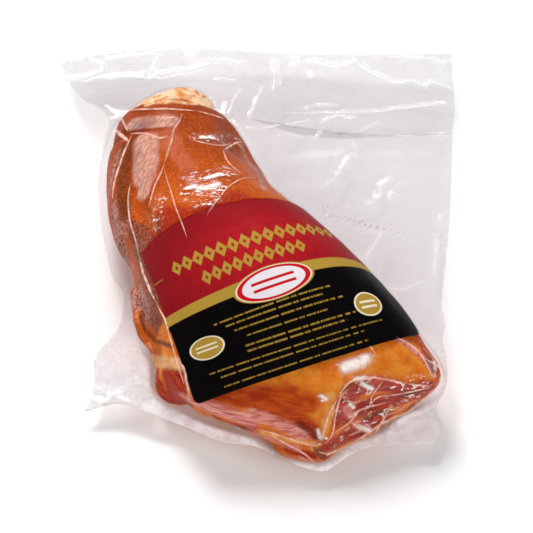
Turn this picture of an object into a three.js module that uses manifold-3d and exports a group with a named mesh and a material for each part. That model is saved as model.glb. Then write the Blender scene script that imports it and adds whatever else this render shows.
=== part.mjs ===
// A smoked pork knuckle, vacuum packed in a clear bag with a paper label stuck on top.
// Millimetres, +Z up. The pack lies on z = 0 with its labelled side up. +Y points to the
// bone end of the knuckle and +X to the right of somebody who stands at the butt end.
// The film clings to the meat with no thickness of its own, so the bag's solid is what
// stands free of the meat: the two films pressed together all round it.
import * as THREE from "three";
import Module from "manifold-3d";

const wasm = await Module();
wasm.setup();

// ---- Driving dimensions ----
const FILM_THICKNESS = 0.8; // two films pressed together, drawn thicker than the real 0.2
const FILM_GAP = 0.5; // between the bag's inner edge and the meat
const SEAM_HEIGHT = 22; // where the two films meet beside the meat
const BUTT_SEAM_HEIGHT = 9; // the same at the butt end
const EDGE_HEIGHT = 6.5; // of the bag's free edges
const TOP_EDGE_LIFT = 5.5; // how much higher the bag's top edge stands
const LABEL_LEFT = 46; // from the label's middle column to its left side
const LABEL_RIGHT = 56;
const LABEL_SIDE_HEIGHT = 82;
const LABEL_TOP_DIP = 3; // of its top edge, at the middle
const LABEL_THICKNESS = 0.6;
const LABEL_GAP = 0.9; // over the smooth form of the meat
const LABEL_MIDDLE = [6.2, -42.6];
const LABEL_TURN = THREE.MathUtils.degToRad(-20); // of its upright, seen from above

// How finely each piece is meshed.
const MEAT_CELL = 3.9; // edge of the cubes that the meat is cut into
const MEAT_LOW = [-80, -104, -6]; // corners of the space that holds the meat
const MEAT_HIGH = [94, 84, 76];
const BAG_COLUMNS = 25;
const BAG_ROWS = 30;
const LABEL_COLUMNS = 22;
const LABEL_ROWS = 15;

// ---- Small helpers ----
const clamp01 = (t) => Math.min(1, Math.max(0, t));
const smoothStep = (low, high, x) => {
  const t = clamp01((x - low) / (high - low));
  return t * t * (3 - 2 * t);
};
const mix = (a, b, t) => a + (b - a) * t;

// A smooth curve through rows of [place, value, value, ...], as a function of place.
function curveThrough(rows) {
  const slope = (i, k) => {
    const a = rows[Math.max(0, i - 1)];
    const b = rows[Math.min(rows.length - 1, i + 1)];
    return (b[k] - a[k]) / (b[0] - a[0]);
  };
  return (place) => {
    const at = Math.min(rows[rows.length - 1][0], Math.max(rows[0][0], place));
    let i = 0;
    while (i < rows.length - 2 && rows[i + 1][0] < at) i += 1;
    const span = rows[i + 1][0] - rows[i][0];
    const t = (at - rows[i][0]) / span;
    return rows[i].slice(1).map((start, column) => {
      const k = column + 1;
      const end = rows[i + 1][k];
      const a = slope(i, k) * span;
      const b = slope(i + 1, k) * span;
      return (
        start * (1 + t * t * (2 * t - 3)) +
        end * t * t * (3 - 2 * t) +
        a * t * (1 - t) * (1 - t) -
        b * t * t * (1 - t)
      );
    });
  };
}

// ---- Signed distances, negative inside ----
// Joins two shapes with a fillet of about the given size, or cuts one by another.
const join = (a, b, fillet) => {
  const h = Math.max(fillet - Math.abs(a - b), 0) / fillet;
  return Math.min(a, b) - (h * h * fillet) / 4;
};
const cut = (a, b, fillet) => -join(-a, b, fillet);

function ellipsoid(p, centre, radii) {
  const [x, y, z] = [0, 1, 2].map((k) => (p[k] - centre[k]) / radii[k]);
  const k0 = Math.hypot(x, y, z);
  const k1 = Math.hypot(x / radii[0], y / radii[1], z / radii[2]);
  return k1 < 1e-9 ? -Math.min(...radii) : (k0 * (k0 - 1)) / k1;
}

function rod(p, from, to, radius) {
  const along = to.map((v, k) => v - from[k]);
  const offset = p.map((v, k) => v - from[k]);
  const dot = (a, b) => a[0] * b[0] + a[1] * b[1] + a[2] * b[2];
  const t = clamp01(dot(offset, along) / dot(along, along));
  return Math.hypot(...offset.map((v, k) => v - along[k] * t)) - radius;
}

const chain = (p, points, radius) =>
  Math.min(...points.slice(1).map((end, i) => rod(p, points[i], end, radius)));

// How far p lies past a plane through a point with the given outward normal.
function pastPlane(p, point, normal) {
  const size = Math.hypot(...normal);
  return normal.reduce((sum, n, k) => sum + (n / size) * (p[k] - point[k]), 0);
}

// ---- The knuckle's main form ----
// One row for each cross-section, from butt to bone end:
// y, left side, right side, x of the crest, height of the crest, height of the widest line.
const sections = curveThrough([
  [-98, -28, 72, 32, 36, 17],
  [-84, -31, 75, 32, 42, 19],
  [-70, -34, 77, 28, 49, 21],
  [-52, -40.5, 72, 17, 58, 23],
  [-32, -45, 58, 5, 63, 24],
  [-15, -48.5, 44, -4, 63, 25],
  [3, -53, 28, -14, 60, 25],
  [20, -57, 12, -23, 56, 25],
  [35, -59.5, 5, -29, 52, 25],
  [48, -58.5, -1, -32, 49, 25],
  [60, -57, -8, -34, 46, 25],
  [70, -53, -14, -35, 43, 25],
]);
const UPPER_ROUNDNESS = 2.15; // exponents of the sections' upper and lower halves
const LOWER_ROUNDNESS = 2.7;
const RIND_END_Y = 63; // where the rind stops at the bone end

function sectionValue([x, y, z]) {
  const [left, right, crest, top, widest] = sections(y);
  const across = Math.abs(x - crest) / (x < crest ? crest - left : right - crest);
  const up = z > widest;
  const tall = Math.abs(z - widest) / (up ? top - widest : widest + 2);
  const n = up ? UPPER_ROUNDNESS : LOWER_ROUNDNESS;
  return Math.pow(across ** n + tall ** n, 1 / n) - 1;
}

// The sections' value divided by its slope is close to a distance.
function loft(p) {
  const step = 0.5;
  const here = sectionValue(p);
  const slope = [0, 1, 2].map((k) => {
    const q = [...p];
    q[k] += step;
    return (sectionValue(q) - here) / step;
  });
  return here / Math.max(Math.hypot(...slope), 0.008);
}

// The butt was sawn and trimmed: two end faces that meet in a ridge at the front.
const FRONT_TIP = [28, -95, 8];
const LEFT_FACE = [-0.02, -0.93, 0.36];
const RIGHT_FACE = [0.33, -0.88, 0.33];
// The underside rises on both sides of the ridge's foot.
const LEFT_HEEL = [-6, -77.5, 8];
const LEFT_UNDERCUT = [-0.45, -0.75, -0.48];
const RIGHT_HEEL = [56, -76.5, 9];
const RIGHT_UNDERCUT = [0.53, -0.84, -0.22];

function smoothKnuckle(p) {
  let d = loft(p);
  d = cut(d, -pastPlane(p, FRONT_TIP, LEFT_FACE), 8);
  d = cut(d, -pastPlane(p, FRONT_TIP, RIGHT_FACE), 7);
  d = cut(d, -pastPlane(p, LEFT_HEEL, LEFT_UNDERCUT), 8);
  d = cut(d, -pastPlane(p, RIGHT_HEEL, RIGHT_UNDERCUT), 6);
  d = cut(d, RIND_END_Y - p[1], 7);
  return d;
}

// ---- What stands out of it, and what is sunk in it ----
// The rind's rolled lip on the left, from its free end to where the label hides it.
const RIND_LIP = [
  [-46, -26, 27],
  [-44.5, -38, 27],
  [-42.5, -44, 25],
  [-38.5, -49.5, 25],
  [-33, -54, 29],
];
const LIP_RADIUS = 3.4;

function knuckle(p) {
  let d = smoothKnuckle(p);
  const groove = (points, radius, fillet) => {
    d = cut(d, chain(p, points, radius), fillet);
  };
  const lump = (centre, radii, fillet) => {
    d = join(d, ellipsoid(p, centre, radii), fillet);
  };
  // bone end: a knob of gristle and fat in a collar of rind
  lump([-35, 63, 28], [14.5, 9, 14], 3);
  lump([-29, 66, 31], [13, 8, 11], 3);
  groove([[-58, 47, 30], [-52, 46, 42], [-38, 45, 50]], 2.2, 4);
  // the left flank stands off the top as a long roll
  groove([[-51, 44, 41], [-50, 22, 44], [-45, 2, 46], [-38, -18, 50]], 2.6, 6);
  lump([-50, 22, 27], [9, 27, 15], 8);
  // hollow on the right below the collar
  d = cut(d, ellipsoid(p, [2, 44, 46], [13, 15, 12]), 8);
  // below the lip the rind is gone: fat lies deeper, then lean stands out again
  d = cut(d, ellipsoid(p, [-46, -57, 34], [11, 10, 15]), 5);
  d = join(d, chain(p, RIND_LIP, LIP_RADIUS), 2.5);
  lump([-29.5, -63, 16], [9, 8, 10], 3);
  lump([-8, -70, 15], [15, 8, 8], 5);
  // right end face: a hollow of cut lean under the fat's edge
  d = cut(d, ellipsoid(p, [57, -89, 24], [20, 15, 15]), 4);
  // front ridge and the thin trimmed layers at its foot
  d = join(d, rod(p, [35, -77, 38], [30, -91, 10], 3), 5);
  lump([23, -87, 6], [12, 6, 6], 4);
  lump([43, -77, 8], [10, 5, 6], 4);
  lump([68, -64, 25], [9, 8, 10], 5);
  return Math.max(d, -p[2]);
}

// ---- Meshing a distance function: one point in each cube that the surface crosses ----
function surfaceNet(distance, low, high, cell) {
  const count = high.map((v, k) => Math.ceil((v - low[k]) / cell) + 1);
  const index = (i, j, k) => i + count[0] * (j + count[1] * k);
  const values = new Float64Array(count[0] * count[1] * count[2]);
  const place = (i, j, k) => [low[0] + i * cell, low[1] + j * cell, low[2] + k * cell];
  for (let k = 0; k < count[2]; k += 1)
    for (let j = 0; j < count[1]; j += 1)
      for (let i = 0; i < count[0]; i += 1)
        values[index(i, j, k)] = distance(place(i, j, k)) || 1e-6;
  const corners = [0, 1, 2, 3, 4, 5, 6, 7].map((c) => [c & 1, (c >> 1) & 1, c >> 2]);
  const edges = [];
  for (let a = 0; a < 8; a += 1)
    for (const bit of [1, 2, 4]) if (!(a & bit)) edges.push([a, a | bit]);
  const points = [];
  const pointOf = new Int32Array(values.length).fill(-1);
  for (let k = 0; k < count[2] - 1; k += 1)
    for (let j = 0; j < count[1] - 1; j += 1)
      for (let i = 0; i < count[0] - 1; i += 1) {
        const at = corners.map(([a, b, c]) => values[index(i + a, j + b, k + c)]);
        const sum = [0, 0, 0];
        let crossings = 0;
        for (const [a, b] of edges) {
          if (at[a] < 0 === at[b] < 0) continue;
          const t = at[a] / (at[a] - at[b]);
          corners[a].forEach((c, m) => (sum[m] += mix(c, corners[b][m], t)));
          crossings += 1;
        }
        if (!crossings) continue;
        pointOf[index(i, j, k)] = points.length / 3;
        const cube = [i, j, k];
        sum.forEach((s, m) => points.push(low[m] + (cube[m] + s / crossings) * cell));
      }
  const triangles = [];
  const quad = (a, b, c, d, flip) => {
    if (flip) triangles.push(a, c, b, a, d, c);
    else triangles.push(a, b, c, a, c, d);
  };
  const axes = [[1, 0, 0], [0, 1, 0], [0, 0, 1]];
  for (let k = 1; k < count[2] - 1; k += 1)
    for (let j = 1; j < count[1] - 1; j += 1)
      for (let i = 1; i < count[0] - 1; i += 1)
        axes.forEach((axis, m) => {
          const start = values[index(i, j, k)];
          const end = values[index(i + axis[0], j + axis[1], k + axis[2])];
          if (start < 0 === end < 0) return;
          const [u, v] = [axes[(m + 1) % 3], axes[(m + 2) % 3]];
          const cube = (a, b) =>
            pointOf[index(i - a * u[0] - b * v[0], j - a * u[1] - b * v[1], k - a * u[2] - b * v[2])];
          quad(cube(1, 1), cube(0, 1), cube(0, 0), cube(1, 0), end < 0);
        });
  return solid(points, triangles);
}

function solid(points, triangles) {
  return new wasm.Manifold(
    new wasm.Mesh({
      numProp: 3,
      vertProperties: new Float32Array(points),
      triVerts: new Uint32Array(triangles),
    }),
  );
}

// ---- A sheet: two grids of points, one over the other, closed round the rim ----
function sheet(columns, rows, pair) {
  const points = [];
  const id = (c, r, side) => 2 * (r * (columns + 1) + c) + side;
  for (let r = 0; r <= rows; r += 1)
    for (let c = 0; c <= columns; c += 1)
      for (const point of pair(c / columns, r / rows)) points.push(...point);
  const triangles = [];
  for (let r = 0; r < rows; r += 1)
    for (let c = 0; c < columns; c += 1)
      for (const side of [0, 1]) {
        const [a, b] = [id(c, r, side), id(c + 1, r, side)];
        const [d, e] = [id(c, r + 1, side), id(c + 1, r + 1, side)];
        if (side) triangles.push(a, b, e, a, e, d);
        else triangles.push(a, e, b, a, d, e);
      }
  const rim = [];
  for (let c = 0; c < columns; c += 1) rim.push([c, 0]);
  for (let r = 0; r < rows; r += 1) rim.push([columns, r]);
  for (let c = columns; c > 0; c -= 1) rim.push([c, rows]);
  for (let r = rows; r > 0; r -= 1) rim.push([0, r]);
  rim.forEach(([c, r], n) => {
    const [nextC, nextR] = rim[(n + 1) % rim.length];
    const [a, b] = [id(c, r, 0), id(nextC, nextR, 0)];
    triangles.push(a, b, b + 1, a, b + 1, a + 1);
  });
  return solid(points, triangles);
}

// ---- The bag ----
// Its sides as seen from above, by the share of the way from the bottom edge to the top one:
// share, left x, right x.
const bagSides = curveThrough([
  [0, -68, 75],
  [0.04, -64, 78.5],
  [0.08, -63.5, 76],
  [0.12, -64, 80],
  [0.15, -60, 81],
  [0.18, -54.5, 80.5],
  [0.22, -52.5, 79.5],
  [0.27, -52, 81],
  [0.32, -57, 80],
  [0.42, -60, 82],
  [0.55, -62.8, 85],
  [0.65, -63, 86.5],
  [0.72, -62, 87.3],
  [0.77, -61, 87.8],
  [0.81, -64, 88.3],
  [0.86, -73.5, 89.5],
  [0.92, -79, 89],
  [1, -84, 88.8],
]);
// Its bottom and top edges, by the share of the way from left to right.
const bagEnds = curveThrough([
  [0, -71.5, 108.5],
  [0.1, -69.5, 111.8],
  [0.2, -74.5, 112.8],
  [0.3, -80, 113.5],
  [0.4, -86.5, 113.7],
  [0.49, -88, 113.7],
  [0.56, -92, 113.2],
  [0.63, -97.5, 112.3],
  [0.69, -99.5, 111.4],
  [0.75, -93, 110.3],
  [0.84, -88, 109.2],
  [1, -87.5, 109.8],
]);

// The middle of the two films. They leave the meat at the seam, sink to the free edges with
// a few slow waves, and lie lower where the butt is trimmed thin.
function bagMiddle(s, t) {
  const [left, right] = bagSides(t);
  const [bottom, top] = bagEnds(s);
  const x = mix(left, right, s);
  const y = mix(bottom, top, t);
  const away = Math.max(0, smoothKnuckle([x, y, SEAM_HEIGHT]));
  const seam = mix(BUTT_SEAM_HEIGHT, SEAM_HEIGHT, smoothStep(-85, -45, y));
  const drop = smoothStep(0, 42, away);
  const broadWave = 2.2 * Math.sin(x / 17 + y / 31) * drop;
  const narrowWave = 1.6 * Math.sin(y / 11 - x / 40) * smoothStep(4, 30, away);
  const lift = TOP_EDGE_LIFT * smoothStep(60, 103, y);
  return [x, y, mix(seam, EDGE_HEIGHT, drop) + broadWave + narrowWave + lift];
}

function makeBag() {
  const half = FILM_THICKNESS / 2;
  const film = sheet(BAG_COLUMNS, BAG_ROWS, (s, t) => {
    const [x, y, z] = bagMiddle(s, t);
    return [[x, y, z - half], [x, y, z + half]];
  });
  const grown = surfaceNet((p) => knuckle(p) - FILM_GAP, MEAT_LOW, MEAT_HIGH, MEAT_CELL);
  return film.subtract(grown);
}

// ---- The label ----
// It is laid from its middle outwards over the smooth form, so that its own width and
// height are kept where it bends over the meat's right side.
function gradient(p) {
  const step = 0.4;
  const slope = [0, 1, 2].map((k) => {
    const [a, b] = [[...p], [...p]];
    a[k] -= step;
    b[k] += step;
    return loft(b) - loft(a);
  });
  return new THREE.Vector3(...slope).normalize();
}

// Moves a point along the gradient until it stands the label's gap off the form.
function settle(point) {
  for (let n = 0; n < 4; n += 1) {
    const p = point.toArray();
    point.addScaledVector(gradient(p), LABEL_GAP - loft(p));
  }
  return point;
}

// Goes a given length over the form, as straight as the form allows.
function walk(from, direction, length) {
  const steps = Math.max(1, Math.ceil(Math.abs(length) / 3));
  const point = from.clone();
  const heading = direction.clone();
  for (let n = 0; n < steps; n += 1) {
    const normal = gradient(point.toArray());
    heading.addScaledVector(normal, -heading.dot(normal)).normalize();
    point.addScaledVector(heading, length / steps);
    settle(point);
  }
  return point;
}

const upLabel = new THREE.Vector3(Math.sin(LABEL_TURN), Math.cos(LABEL_TURN), 0);
const acrossLabel = new THREE.Vector3(Math.cos(LABEL_TURN), -Math.sin(LABEL_TURN), 0);
const labelMiddle = settle(new THREE.Vector3(...LABEL_MIDDLE, MEAT_HIGH[2]));
const labelPoint = (across, up) => walk(walk(labelMiddle, upLabel, up), acrossLabel, across);

function makeLabel() {
  const side = LABEL_SIDE_HEIGHT;
  return sheet(LABEL_COLUMNS, LABEL_ROWS, (s, t) => {
    const across = mix(-LABEL_LEFT, LABEL_RIGHT, s);
    const dip = LABEL_TOP_DIP * (1 - (2 * s - 1) ** 2);
    const up = mix(-side / 2, side / 2 - dip, t);
    const inner = labelPoint(across, up);
    const normal = gradient(inner.toArray());
    const outer = inner.clone().addScaledVector(normal, LABEL_THICKNESS);
    return [inner.toArray(), outer.toArray()];
  });
}

// ---- The parts, each with its own colour ----
function meshOf(name, manifold, material) {
  const { vertProperties, triVerts, numProp, numVert } = manifold.getMesh();
  const positions = new Float32Array(numVert * 3);
  for (let i = 0; i < numVert; i += 1)
    positions.set(vertProperties.subarray(i * numProp, i * numProp + 3), i * 3);
  const geometry = new THREE.BufferGeometry();
  geometry.setAttribute("position", new THREE.BufferAttribute(positions, 3));
  geometry.setIndex(new THREE.BufferAttribute(new Uint32Array(triVerts), 1));
  geometry.computeVertexNormals();
  const mesh = new THREE.Mesh(geometry, new THREE.MeshStandardMaterial(material));
  mesh.name = name;
  return mesh;
}

const pack = new THREE.Group();
const meat = surfaceNet(knuckle, MEAT_LOW, MEAT_HIGH, MEAT_CELL);
pack.add(meshOf("knuckle", meat, { color: 0xa8501e, roughness: 0.4, metalness: 0 }));
pack.add(
  meshOf("vacuum_bag", makeBag(), {
    color: 0xe6e2e6,
    roughness: 0.15,
    metalness: 0,
    transparent: true,
    opacity: 0.35,
  }),
);
pack.add(meshOf("label", makeLabel(), { color: 0x8c1a1c, roughness: 0.45, metalness: 0 }));

// the model's origin lies under the middle of the bag
const { min, max } = new THREE.Box3().setFromObject(pack);
pack.position.set(-(min.x + max.x) / 2, -(min.y + max.y) / 2, -min.z);

export default pack;
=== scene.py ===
# %% [markdown]
# # A smoked pork knuckle, vacuum packed
#
# The real thing is a piece of meat inside a clear bag from which the air has been drawn, with
# a printed paper label between the meat and the film. Four pieces are made here: the meat,
# the label, the film, and the sharp pleats that stand up from it. Each goes over the plain
# solid that it stands for in the frame, and the pleats share the bag's with the film.
#
# Everything is drawn in millimetres, as the solids were, and turned into metres only when a
# mesh is made.

# %% The frame
import math

import bpy
import numpy as np
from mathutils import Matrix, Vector, noise
from mathutils.bvhtree import BVHTree
from mathutils.kdtree import KDTree


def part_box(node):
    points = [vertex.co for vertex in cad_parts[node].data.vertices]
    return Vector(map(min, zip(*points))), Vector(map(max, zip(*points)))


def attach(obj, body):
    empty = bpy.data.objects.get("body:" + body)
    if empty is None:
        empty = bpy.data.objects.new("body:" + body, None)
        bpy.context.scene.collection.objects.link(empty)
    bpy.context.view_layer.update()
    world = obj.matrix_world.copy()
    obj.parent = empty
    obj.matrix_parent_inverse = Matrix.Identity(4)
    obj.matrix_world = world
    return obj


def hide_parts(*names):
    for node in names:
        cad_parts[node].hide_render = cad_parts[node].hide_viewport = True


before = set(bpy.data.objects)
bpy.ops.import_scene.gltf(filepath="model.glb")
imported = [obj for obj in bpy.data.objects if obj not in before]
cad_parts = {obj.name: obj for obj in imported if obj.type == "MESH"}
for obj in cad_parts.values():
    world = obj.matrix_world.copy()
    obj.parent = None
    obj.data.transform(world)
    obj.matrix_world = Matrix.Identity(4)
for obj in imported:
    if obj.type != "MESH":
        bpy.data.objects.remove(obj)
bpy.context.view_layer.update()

MM = 0.001

# The drawing's own origin is under the knuckle, and the frame's is under the middle of the
# bag. The bag's two outermost edges, as drawn, say how far the one lies from the other.
BAG_LEFT_EDGE = -84.0
BAG_TOP_EDGE = 113.7
bag_low, bag_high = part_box("vacuum_bag")
ORIGIN = np.array([bag_low.x / MM - BAG_LEFT_EDGE, bag_high.y / MM - BAG_TOP_EDGE, 0.0])
print("the drawing's origin, in the frame's millimetres:", ORIGIN.round(2))

# %% [markdown]
# ## The camera
#
# The camera comes first, because folds and colours that show in only one place are put
# where a ray through a point of the picture meets the pack. A long lens keeps the
# perspective weak, as in a studio picture of a small object.

# %% The camera and its rays
PICTURE = 533.0  # the side of the picture, in pixels
ELEVATION = math.radians(56.0)
DISTANCE = 1244.0
TARGET = np.array([7.0, -5.0, 16.0])
LENS = 200.0
SENSOR = 36.0
PIXEL = round(DISTANCE * SENSOR / LENS / PICTURE, 2)  # what one pixel spans at the pack

to_camera = np.array([0.0, -math.cos(ELEVATION), math.sin(ELEVATION)])
picture_right = np.array([1.0, 0.0, 0.0])
picture_up = np.cross(to_camera, picture_right)
eye = TARGET + DISTANCE * to_camera

camera_data = bpy.data.cameras.new("camera")
camera_data.lens = LENS
camera_data.sensor_width = SENSOR
camera_data.clip_end = 20.0
camera = bpy.data.objects.new("camera", camera_data)
bpy.context.scene.collection.objects.link(camera)
camera.location = (eye + ORIGIN) * MM
camera.rotation_euler = (math.pi / 2 - ELEVATION, 0.0, 0.0)
bpy.context.scene.camera = camera


def ray_through(pixel):
    """The direction from the eye through a point of the picture."""
    focal = PICTURE * LENS / SENSOR
    across, down = (np.asarray(pixel, float) - PICTURE / 2) / focal
    ray = across * picture_right - down * picture_up - to_camera
    return ray / np.linalg.norm(ray)


print("the eye is", round(DISTANCE), "mm away, and one pixel spans", PIXEL, "mm")

# %% [markdown]
# ## Shapes as distances
#
# Meat has no edges or flat faces to build from. Its form is written as a signed distance:
# a function that gives, for any point, how far outside the meat it is. Two such shapes are
# joined or cut with a fillet of any size by simple formulas, which suits flesh and film.
# Each function here takes an array of points, one to a row.

# %% Helpers for distances
def smooth_step(low, high, x):
    """0 at low, 1 at high, and smooth between; low may be the greater."""
    t = np.clip((x - low) / (high - low), 0.0, 1.0)
    return t * t * (3 - 2 * t)


def between(a, b, t):
    return a + (b - a) * t


def join(a, b, fillet):
    """The distance to either of two shapes, with a fillet where they meet."""
    h = np.maximum(fillet - np.abs(a - b), 0) / fillet
    return np.minimum(a, b) - h * h * fillet / 4


def cut(a, b, fillet):
    """The distance to what two distances share; a negative distance takes a shape away."""
    return -join(-a, b, fillet)


def ellipsoid(p, centre, radii):
    q = (p - centre) / radii
    length = np.linalg.norm(q, axis=1)
    slope = np.linalg.norm(q / radii, axis=1) + 1e-9
    return length * (length - 1) / slope


def nearest_on_rod(p, start, end):
    """How far along the rod the nearest point is, from 0 to 1, and how far away."""
    start, end = np.asarray(start, float), np.asarray(end, float)
    along = end - start
    t = np.clip((p - start) @ along / (along @ along), 0, 1)
    return t, np.linalg.norm(p - start - t[:, None] * along, axis=1)


def rod(p, start, end, radius):
    return nearest_on_rod(p, start, end)[1] - radius


def chain(p, points, radius):
    """Rods from each point to the next."""
    return np.minimum.reduce([rod(p, a, b, radius) for a, b in zip(points, points[1:])])


def past_plane(p, point, normal):
    """How far points lie beyond a plane, on the side that its normal points to."""
    normal = np.asarray(normal, float)
    return (p - point) @ (normal / np.linalg.norm(normal))


def curve_through(rows):
    """A smooth curve through rows of place, value, value, ... as a function of places."""
    table = np.array(rows, float)
    place, values = table[:, 0], table[:, 1:]
    slopes = np.empty_like(values)
    for i in range(len(place)):
        a, b = max(0, i - 1), min(len(place) - 1, i + 1)
        slopes[i] = (values[b] - values[a]) / (place[b] - place[a])

    def curve(at):
        at = np.clip(at, place[0], place[-1])
        i = np.clip(np.searchsorted(place, at) - 1, 0, len(place) - 2)
        span = place[i + 1] - place[i]
        t = ((at - place[i]) / span)[:, None]
        span = span[:, None]
        found = values[i] * (1 + t * t * (2 * t - 3)) + values[i + 1] * t * t * (3 - 2 * t)
        found += slopes[i] * span * t * (1 - t) ** 2 - slopes[i + 1] * span * t * t * (1 - t)
        return found.T

    return curve


# %% [markdown]
# ## The knuckle's form
#
# The leg is a row of rounded cross-sections from the butt, nearest to us, to the bone end.
# The butt is cut by two planes that meet in a ridge. Lumps, grooves and the rolled lip of
# the rind are added to that. With `spanned`, the same recipe gives what the film makes of
# it: film bridges narrow grooves and draws wide fillets over what stands out.

# %% The knuckle as a distance
sections = curve_through([
    # y, left side, right side, x of the crest, height of the crest, height of the widest line
    [-98, -28, 72, 32, 36, 17],
    [-84, -31, 75, 32, 42, 19],
    [-70, -34, 77, 28, 49, 21],
    [-52, -40.5, 72, 17, 58, 23],
    [-32, -45, 58, 5, 63, 24],
    [-15, -48.5, 44, -4, 63, 25],
    [3, -53, 28, -14, 60, 25],
    [20, -57, 12, -23, 56, 25],
    [35, -59.5, 5, -29, 52, 25],
    [48, -58.5, -1, -32, 49, 25],
    [60, -57, -8, -34, 46, 25],
    [70, -53, -14, -35, 43, 25],
])
UPPER_ROUNDNESS = 2.15
LOWER_ROUNDNESS = 2.7
RIND_END_Y = 63.0
FRONT_TIP = [28, -95, 8]
LEFT_FACE = [-0.02, -0.93, 0.36]
RIGHT_FACE = [0.33, -0.88, 0.33]
LEFT_HEEL, LEFT_UNDERCUT = [-6, -77.5, 8], [-0.45, -0.75, -0.48]
RIGHT_HEEL, RIGHT_UNDERCUT = [56, -76.5, 9], [0.53, -0.84, -0.22]
RIND_LIP = [[-46, -26, 27], [-44.5, -38, 27], [-42.5, -44, 25], [-38.5, -49.5, 25], [-33, -54, 29]]
LIP_RADIUS = 3.4
REST_HEIGHT = 0.35  # of the meat over the floor, for the film under it


def section_value(p):
    """Below 0 inside the leg's cross-section and above 0 outside, but not a length yet."""
    left, right, crest, top, widest = sections(p[:, 1])
    x, z = p[:, 0], p[:, 2]
    across = np.abs(x - crest) / np.where(x < crest, crest - left, right - crest)
    up = z > widest
    tall = np.abs(z - widest) / np.where(up, top - widest, widest + 2)
    n = np.where(up, UPPER_ROUNDNESS, LOWER_ROUNDNESS)
    return (across**n + tall**n) ** (1 / n) - 1


def loft(p):
    """The leg's plain form: the section's value over its slope is nearly a length."""
    step = 0.5
    here = section_value(p)
    slope = [(section_value(p + step * axis) - here) / step for axis in np.eye(3)]
    return here / np.maximum(np.linalg.norm(slope, axis=0), 0.008)


def smooth_knuckle(p):
    """The leg with its two end faces, the undercuts below them and its flat bone end."""
    d = loft(p)
    d = cut(d, -past_plane(p, FRONT_TIP, LEFT_FACE), 8)
    d = cut(d, -past_plane(p, FRONT_TIP, RIGHT_FACE), 7)
    d = cut(d, -past_plane(p, LEFT_HEEL, LEFT_UNDERCUT), 8)
    d = cut(d, -past_plane(p, RIGHT_HEEL, RIGHT_UNDERCUT), 6)
    return cut(d, RIND_END_Y - p[:, 1], 7)


def knuckle(p, spanned=False):
    """The whole knuckle, or with spanned, what a film drawn tight over it makes of it."""
    d = smooth_knuckle(p)
    wide = 2.2 if spanned else 1.0

    def lump(centre, radii, fillet):
        return join(d, ellipsoid(p, centre, radii), fillet * wide)

    # bone end: a knob of gristle and fat in a collar of rind
    d = lump([-35, 63, 28], [14.5, 9, 14], 3)
    d = lump([-29, 66, 31], [13, 8, 11], 3)
    if not spanned:
        d = cut(d, chain(p, [[-58, 47, 30], [-52, 46, 42], [-38, 45, 50]], 2.2), 4)
    # the left flank stands off the top as a long roll
    valley = [[-51, 44, 41], [-50, 22, 44], [-45, 2, 46], [-38, -18, 50]]
    d = cut(d, chain(p, valley, 1.0 if spanned else 2.6), 6)
    d = lump([-50, 22, 27], [9, 27, 15], 8)
    # hollow on the right below the collar
    d = cut(d, ellipsoid(p, [2, 44, 46], [13, 15, 12]), 8)
    # below the lip the rind is gone: fat lies deeper, then lean stands out again
    d = cut(d, ellipsoid(p, [-46, -57, 34], [11, 10, 15]), 5)
    d = join(d, chain(p, RIND_LIP, LIP_RADIUS), 2.5 * wide)
    d = lump([-29.5, -63, 16], [9, 8, 10], 3)
    d = lump([-8, -70, 15], [15, 8, 8], 5)
    # right end face: a hollow of cut lean under the fat's edge
    d = cut(d, ellipsoid(p, [57, -89, 24], [20, 15, 15]), 4)
    # front ridge and the thin trimmed layers at its foot
    d = join(d, rod(p, [35, -77, 38], [30, -91, 10], 3), 5)
    d = lump([23, -87, 6], [12, 6, 6], 4)
    d = lump([43, -77, 8], [10, 5, 6], 4)
    d = lump([68, -64, 25], [9, 8, 10], 5)
    return np.maximum(d, REST_HEIGHT - p[:, 2])


print("distance in the middle of the meat:", knuckle(np.array([[0.0, 0.0, 30.0]])).round(1), "mm")

# %% [markdown]
# ## From distance to mesh
#
# A surface net turns a distance into a mesh: space is cut into small cubes, each cube that
# the surface crosses gets one point, and points of neighbouring cubes are joined by quads.
# The points are then moved exactly onto the surface, so that no steps of the grid show in
# the gloss. Far from the surface a coarse reading is enough, which saves most of the time.

# %% Surface net
COARSE = 4  # cubes of the fine grid along one of the coarse grid


def grid_points(axes):
    return np.stack(np.meshgrid(*axes, indexing="ij"), -1).reshape(-1, len(axes))


def sampled(distance, low, counts, cell):
    """A distance on a grid of points, exact near the surface and coarse elsewhere."""
    axes = [low[k] + cell * np.arange(counts[k]) for k in range(3)]
    coarse = distance(grid_points([a[::COARSE] for a in axes]))
    coarse = coarse.reshape([len(a[::COARSE]) for a in axes])
    nearest = [(np.arange(n) + COARSE // 2) // COARSE for n in counts]
    values = coarse[np.ix_(*nearest)]
    close = np.abs(values) < 1.7 * COARSE * cell
    index = np.argwhere(close)
    values[close] = distance(low + index * cell)
    return values


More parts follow.
